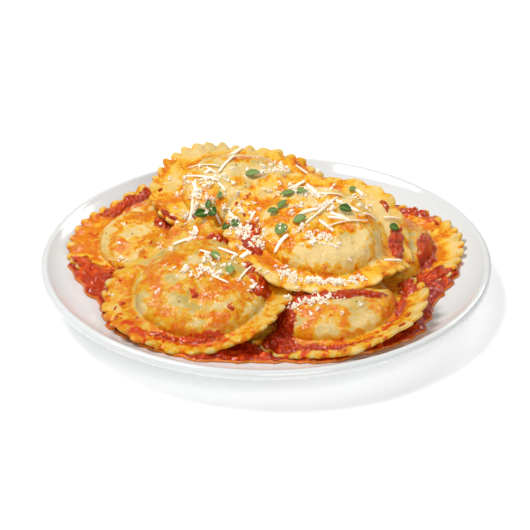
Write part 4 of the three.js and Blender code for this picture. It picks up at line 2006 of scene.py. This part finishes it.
SPOONFULS = (
    *strewn(Spoonful, "ravioli_left", (
        (Dab(-22, 28, 9, 3.2, 32, 1.0),), (Dab(-8, 36, 9, 3, 15, 0.9),),
        (Dab(2, 4, 5, 4, -45, 1.1),), (Dab(12, 10, 6, 6, 30, 1.2),),
        (Dab(-30, -27, 11, 6.5, -42, 2.2),), (Dab(-14, -34, 11, 6, -20, 2.0),),
        (Dab(-19, -24, 5, 3, -30, 1.0),), (Dab(-38, -17, 7, 4.5, -62, 1.7),),
    )),
    *strewn(Spoonful, "ravioli_back", (
        (Dab(-36, -21, 7, 3, -40, 0.9),), (Dab(-22, -34, 8, 3, -20, 0.9),),
    )),
    *strewn(Spoonful, "ravioli_top", (
        (Dab(-32, -5, 8, 4.5, 80, 1.0),), (Dab(-29, -17, 5, 3, -60, 0.8),),
        (Dab(36.5, 2.5, 8.5, 3, 85, 1.7),), (Dab(31, 22, 4, 2, -50, 0.7),),
    )),
    *strewn(Spoonful, "ravioli_front_left", (
        (Dab(-14, -30.5, 9, 1.6, -22, 0.75),), (Dab(5, -33.5, 10, 1.5, 3, 0.8),),
        (Dab(-0.5, -12, 2.6, 1.8, -70, 0.7),), (Dab(15.6, -21, 2, 1.4, -60, 0.65),),
        (Dab(11, 32, 7, 3, -10, 1.1),), (Dab(29, -7, 6, 3, 40, 1.1),),
        (Dab(25.5, 4, 6, 2.6, -50, 1.1),),
    )),
    *strewn(Spoonful, "ravioli_front_right", (
        (Dab(-12, -32, 15, 2.4, -20, 1.1),), (Dab(8, -33, 10, 1.6, 6, 0.8),),
        # Painted shade: the second numbers on these two lines darken spoonfuls in shade beside the front-left
        # raviolo and under the top raviolo's rim.
        (Dab(-24, -18, 11, 5.5, 75, 1.8), 0.42), (Dab(-23, -28, 9, 4, -30, 1.5), 0.35),
        (Dab(2, -4.2, 17, 2.6, 2, 1.9), 0.2), (Dab(-17, -2, 6, 4, 0, 2.2),),
        (Dab(29.5, -5, 8, 1.8, 78, 1.0),), (Dab(34, 12, 7, 4, 95, 1.3),),
    )),
    *strewn(Spoonful, "ravioli_right", (
        (Dab(22, 31, 9, 3, -30, 1.1),), (Dab(25, -8, 11, 3.4, 78, 1.4),),
        (Dab(26, -29, 9, 5, 35, 1.8),), (Dab(12, -34, 10, 6, 20, 1.8),),
    )),
)

STRANDS = (
    *strewn(Strand, "ravioli_back", (
        (-19, 9, -23, 16, 0.1), (-20, 0, -35, 21, 0.1), (-17, -2, 7, 8, 0.2),
        (-15, 4, -46, 7, 0.1), (-8, 9, 63, 16, 0.1), (-4, 33, 64, 16, 0.1),
        (-23, -8, -83, 12, 0.5), (-24, -19, -99, 13, 0.5), (-10, -9, -60, 7, 0.1),
        (-12, -24, -47, 7, 0.2), (29, 22, -45, 8, 0.2),
    )),
    *strewn(Strand, "ravioli_top", (
        (-39, 7, -44, 11, 0.1), (-39, 3, -55, 10, 0.2), (-31, 8, 69, 6, 0.1), (0, 3, 54, 25, 0.1),
        (3, 16, 3, 13, 0.1), (-10, 33, 48, 9, 0.2), (-4, 19, -66, 14, 0.1), (-6, 2, 30, 10, 0.3),
        (8, -1, 7, 10, 0.1), (12, -2, 32, 22, 0.1), (2, -7, -37, 8, 0.2), (8, 1, -22, 9, 0.2),
        (12, 9, 165, 11, 0.2), (23, 9, 45, 9, 0.1), (34, 16, 20, 8, 0.1), (18, 30, -46, 6, 0.2),
        (34, -13, 40, 11, 0.1), (-18, -16, 47, 9, 0.1), (-34, -22, 64, 8, 0.2),
        (-32, -2, 76, 6, 0.2), (-4, -17, 36, 4, 0.0),
    )),
    *strewn(Strand, "ravioli_front_left", (
        (16, 15, -28, 6, 0.1), (22, 1, 57, 9, 0.1), (11, -4, -23, 8, 0.1), (14, 16, -20, 9, 0.2),
        (6, 13, -24, 10, 0.1), (-6, 31, 12, 11, 0.2), (-1, 37, -70, 4, 0.0),
    )),
)

CRUMBS = (
    *strewn(Pinch, "ravioli_top", (
        (0, -35.5, 9, 1.3, 3, 560), (-15, -31, 4, 2.0, -20, 170), (14, -34, 4, 1.3, 15, 90),
        (-2, -17, 4, 2, 0, 110), (3, -13, 3, 1.5, 0, 60), (-13, -9, 3, 2, 0, 70),
        (-5, 18, 7, 2.5, -15, 210), (-1, 6, 9, 3, 25, 170), (-36, 0, 4, 7, 10, 330),
        (-30, -9, 4, 5, 0, 240), (-26, 22, 8, 5, 30, 110), (14, 12, 8, 6, 0, 60),
        (14, 30, 9, 3, -25, 60), (0, 0, 18, 16, 0, 90),
    )),
    *strewn(Pinch, "ravioli_front_right", (
        (-9, -7, 6, 1.6, -4, 240), (-17, -6, 4, 3, 0, 100), (4, -12, 14, 5, 0, 40),
    )),
    *strewn(Pinch, "ravioli_back", (
        (13, 9, 6, 4, 30, 210), (-18, -10, 5, 6, 20, 250), (-24, 2, 8, 4, 0, 150),
        (-12, -22, 8, 4, 0, 160), (0, 0, 18, 16, 0, 130),
    )),
    *strewn(Pinch, "ravioli_front_left", (
        (3, 0, 8, 1.6, -12, 200), (4, 9, 4, 3, 0, 90), (13, 6, 4, 3, 0, 60),
        (26, -3, 3, 5, 0, 130), (2, 31, 12, 3, 5, 150), (-5, -10, 18, 14, 0, 30),
    )),
    *strewn(Pinch, "ravioli_left", (
        (14, 0, 6, 5, 0, 130), (-10, -6, 10, 8, 0, 40),
    )),
    *strewn(Pinch, "ravioli_right", (
        (10, 10, 16, 16, 0, 30),
    )),
)

PEPPER = (
    *strewn(Pinch, "ravioli_front_left", (
        (0, 0, 20, 20, 0, 22),
    )),
    *strewn(Pinch, "ravioli_left", (
        (-5, 0, 18, 18, 0, 16),
    )),
    *strewn(Pinch, "ravioli_back", (
        (-5, 5, 18, 18, 0, 16),
    )),
    *strewn(Pinch, "ravioli_top", (
        (0, 0, 20, 20, 0, 20),
    )),
    *strewn(Pinch, "ravioli_right", (
        (15, 5, 14, 16, 0, 10),
    )),
    *strewn(Pinch, "ravioli_front_right", (
        (0, -15, 20, 10, 0, 12),
    )),
)

LEAVES = (
    *strewn(Leaf, "ravioli_back", (
        (1, 1, 0, 7.0, 0.05, 0.35), (-16, -22, 200, 6.5, 0.1, 1.0), (-16, -22, 75, 3.6, 0.2, 0.8),
        (-15, -22, -50, 4.8, 0.1, 1.0), (-11, -17, 70, 3.2, 0.4, 0.3),
    )),
    *strewn(Leaf, "ravioli_top", (
        (-13, 16, 180, 6.2, 0.1, 0.4), (-12, 16, 10, 5.5, 0.15, 0.35),
        (-20, 4, 205, 5.2, 0.15, 0.6), (-20, 5, 40, 5.2, 0.2, 0.55),
        (-13, -5, 10, 6.0, 0.1, 0.45), (-21, -11, 20, 6.0, 0.1, 0.45),
        (-41, 1.5, 190, 4.2, 0.1, 1.0), (-41, 1.5, -15, 4.6, 0.1, 0.9),
    )),
    *strewn(Leaf, "ravioli_front_left", (
        (8, 14, -80, 5.2, 0.1, 0.3), (15, 4, -85, 5.0, 0.1, 0.25),
    )),
    *strewn(Leaf, "ravioli_top", (
        (8, 7, -20, 6.0, 0.15, 0.95), (33, 11, -10, 4.5, 0.2, 0.9), (14, 30, 30, 3.5, 0.2, 0.5),
    )),
)

STEMS = [
    ("ravioli_back", [(-16, -23, 0.4), (-13, -20, 1.2), (-11, -16, 2.2), (-10.5, -12, 2.8)]),
    ("ravioli_top", [(-15, 15.5, 0.5), (-12.5, 16, 0.7), (-10.5, 16.5, 0.5)]),
    ("ravioli_top", [(-22, 3.5, 0.3), (-20, 4.5, 0.6), (-18, 5.5, 0.3)]),
]


class Serving:
    """The whole plate of food, and the finishes of its pieces."""

    def __init__(self) -> None:
        """Work out the shapes that the pieces share."""
        self.plate = PlateForm()
        self.ravioli = lay_serving()
        self.surface = FoodSurface(self.ravioli, self.plate)
        self.speckle = speckle_group()

    def lay_plate(self) -> None:
        """Make the plate and its glaze."""
        glaze = GlazeFinish("white_glaze", specular=0.4, coat=0.15, coat_roughness=0.04).build(self.speckle)
        piece = self.plate.shell().to_object("plate_body", Slot.PLATE, glaze)
        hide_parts("plate")

    def lay_pasta(self) -> None:
        """Make the six ravioli, each with its own tint."""
        for raviolo in self.ravioli:
            finish = PastaFinish(
                f"cooked_{raviolo.node}", specular=0.1, coat_roughness=0.06, scatter=0.1,
                scatter_radius=(1.0, 0.5, 0.15), scatter_scale=0.001, green=raviolo.green,
                tone=raviolo.tone,
            ).build(self.speckle)
            piece = raviolo.shell().to_object(f"{raviolo.node}_pasta", Slot.PASTA, finish)
            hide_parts(raviolo.node)

    def lay_sauce(self) -> None:
        """Make the pool under the pasta and the spoonfuls on it."""
        finish = SauceFinish(
            "tomato_sauce", specular=0.08, coat=0.62, coat_roughness=0.03, scatter=0.08,
            scatter_radius=(1.0, 0.15, 0.05), scatter_scale=0.0012,
        ).build(self.speckle)
        pool = SauceBed(self.surface, self.plate).shell().to_object("sauce_pool", Slot.SAUCE, finish)
        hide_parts("sauce")
        LooseSauce(self.ravioli, SPOONFULS).shell().to_object("sauce_spoonfuls", Slot.SAUCE, finish)

    def add_toppings(self) -> None:
        """Strew the cheese, the thyme and the pepper."""
        cheese = CheeseFinish("hard_cheese", specular=0.3).build(self.speckle)
        herb = LeafFinish("thyme_leaf", specular=0.2).build(self.speckle)
        pepper = PepperFinish("black_pepper", specular=0.3).build(self.speckle)
        shreds = CheeseShreds(self.surface, self.ravioli, seed=11)
        shreds.shell(list(STRANDS)).to_object("cheese_shreds", Slot.CHEESE, cheese)
        crumbs = Grains(self.surface, self.ravioli, seed=12)
        grated = crumbs.shell(list(CRUMBS), small=0.25, large=0.9, pile=0.22, clump=9)
        grated.to_object("cheese_crumbs", Slot.CHEESE, cheese)
        flecks = Grains(self.surface, self.ravioli, seed=13)
        cracked = flecks.shell(list(PEPPER), small=0.15, large=0.5, pile=0.0, clump=1)
        cracked.to_object("pepper_flecks", Slot.PEPPER, pepper)
        thyme = Thyme(self.surface, self.ravioli, seed=14)
        thyme.leaves(list(LEAVES)).to_object("thyme_leaves", Slot.HERB, herb)
        thyme.stems(STEMS).to_object("thyme_stems", Slot.HERB, herb)


def main() -> None:
    """Build the stage and the serving."""
    logging.basicConfig(level=logging.INFO)
    stage = Stage()
    stage.camera()
    stage.floor()
    stage.light()
    serving = Serving()
    serving.lay_plate()
    serving.lay_pasta()
    serving.lay_sauce()
    serving.add_toppings()


if __name__ == "__main__":
    main()
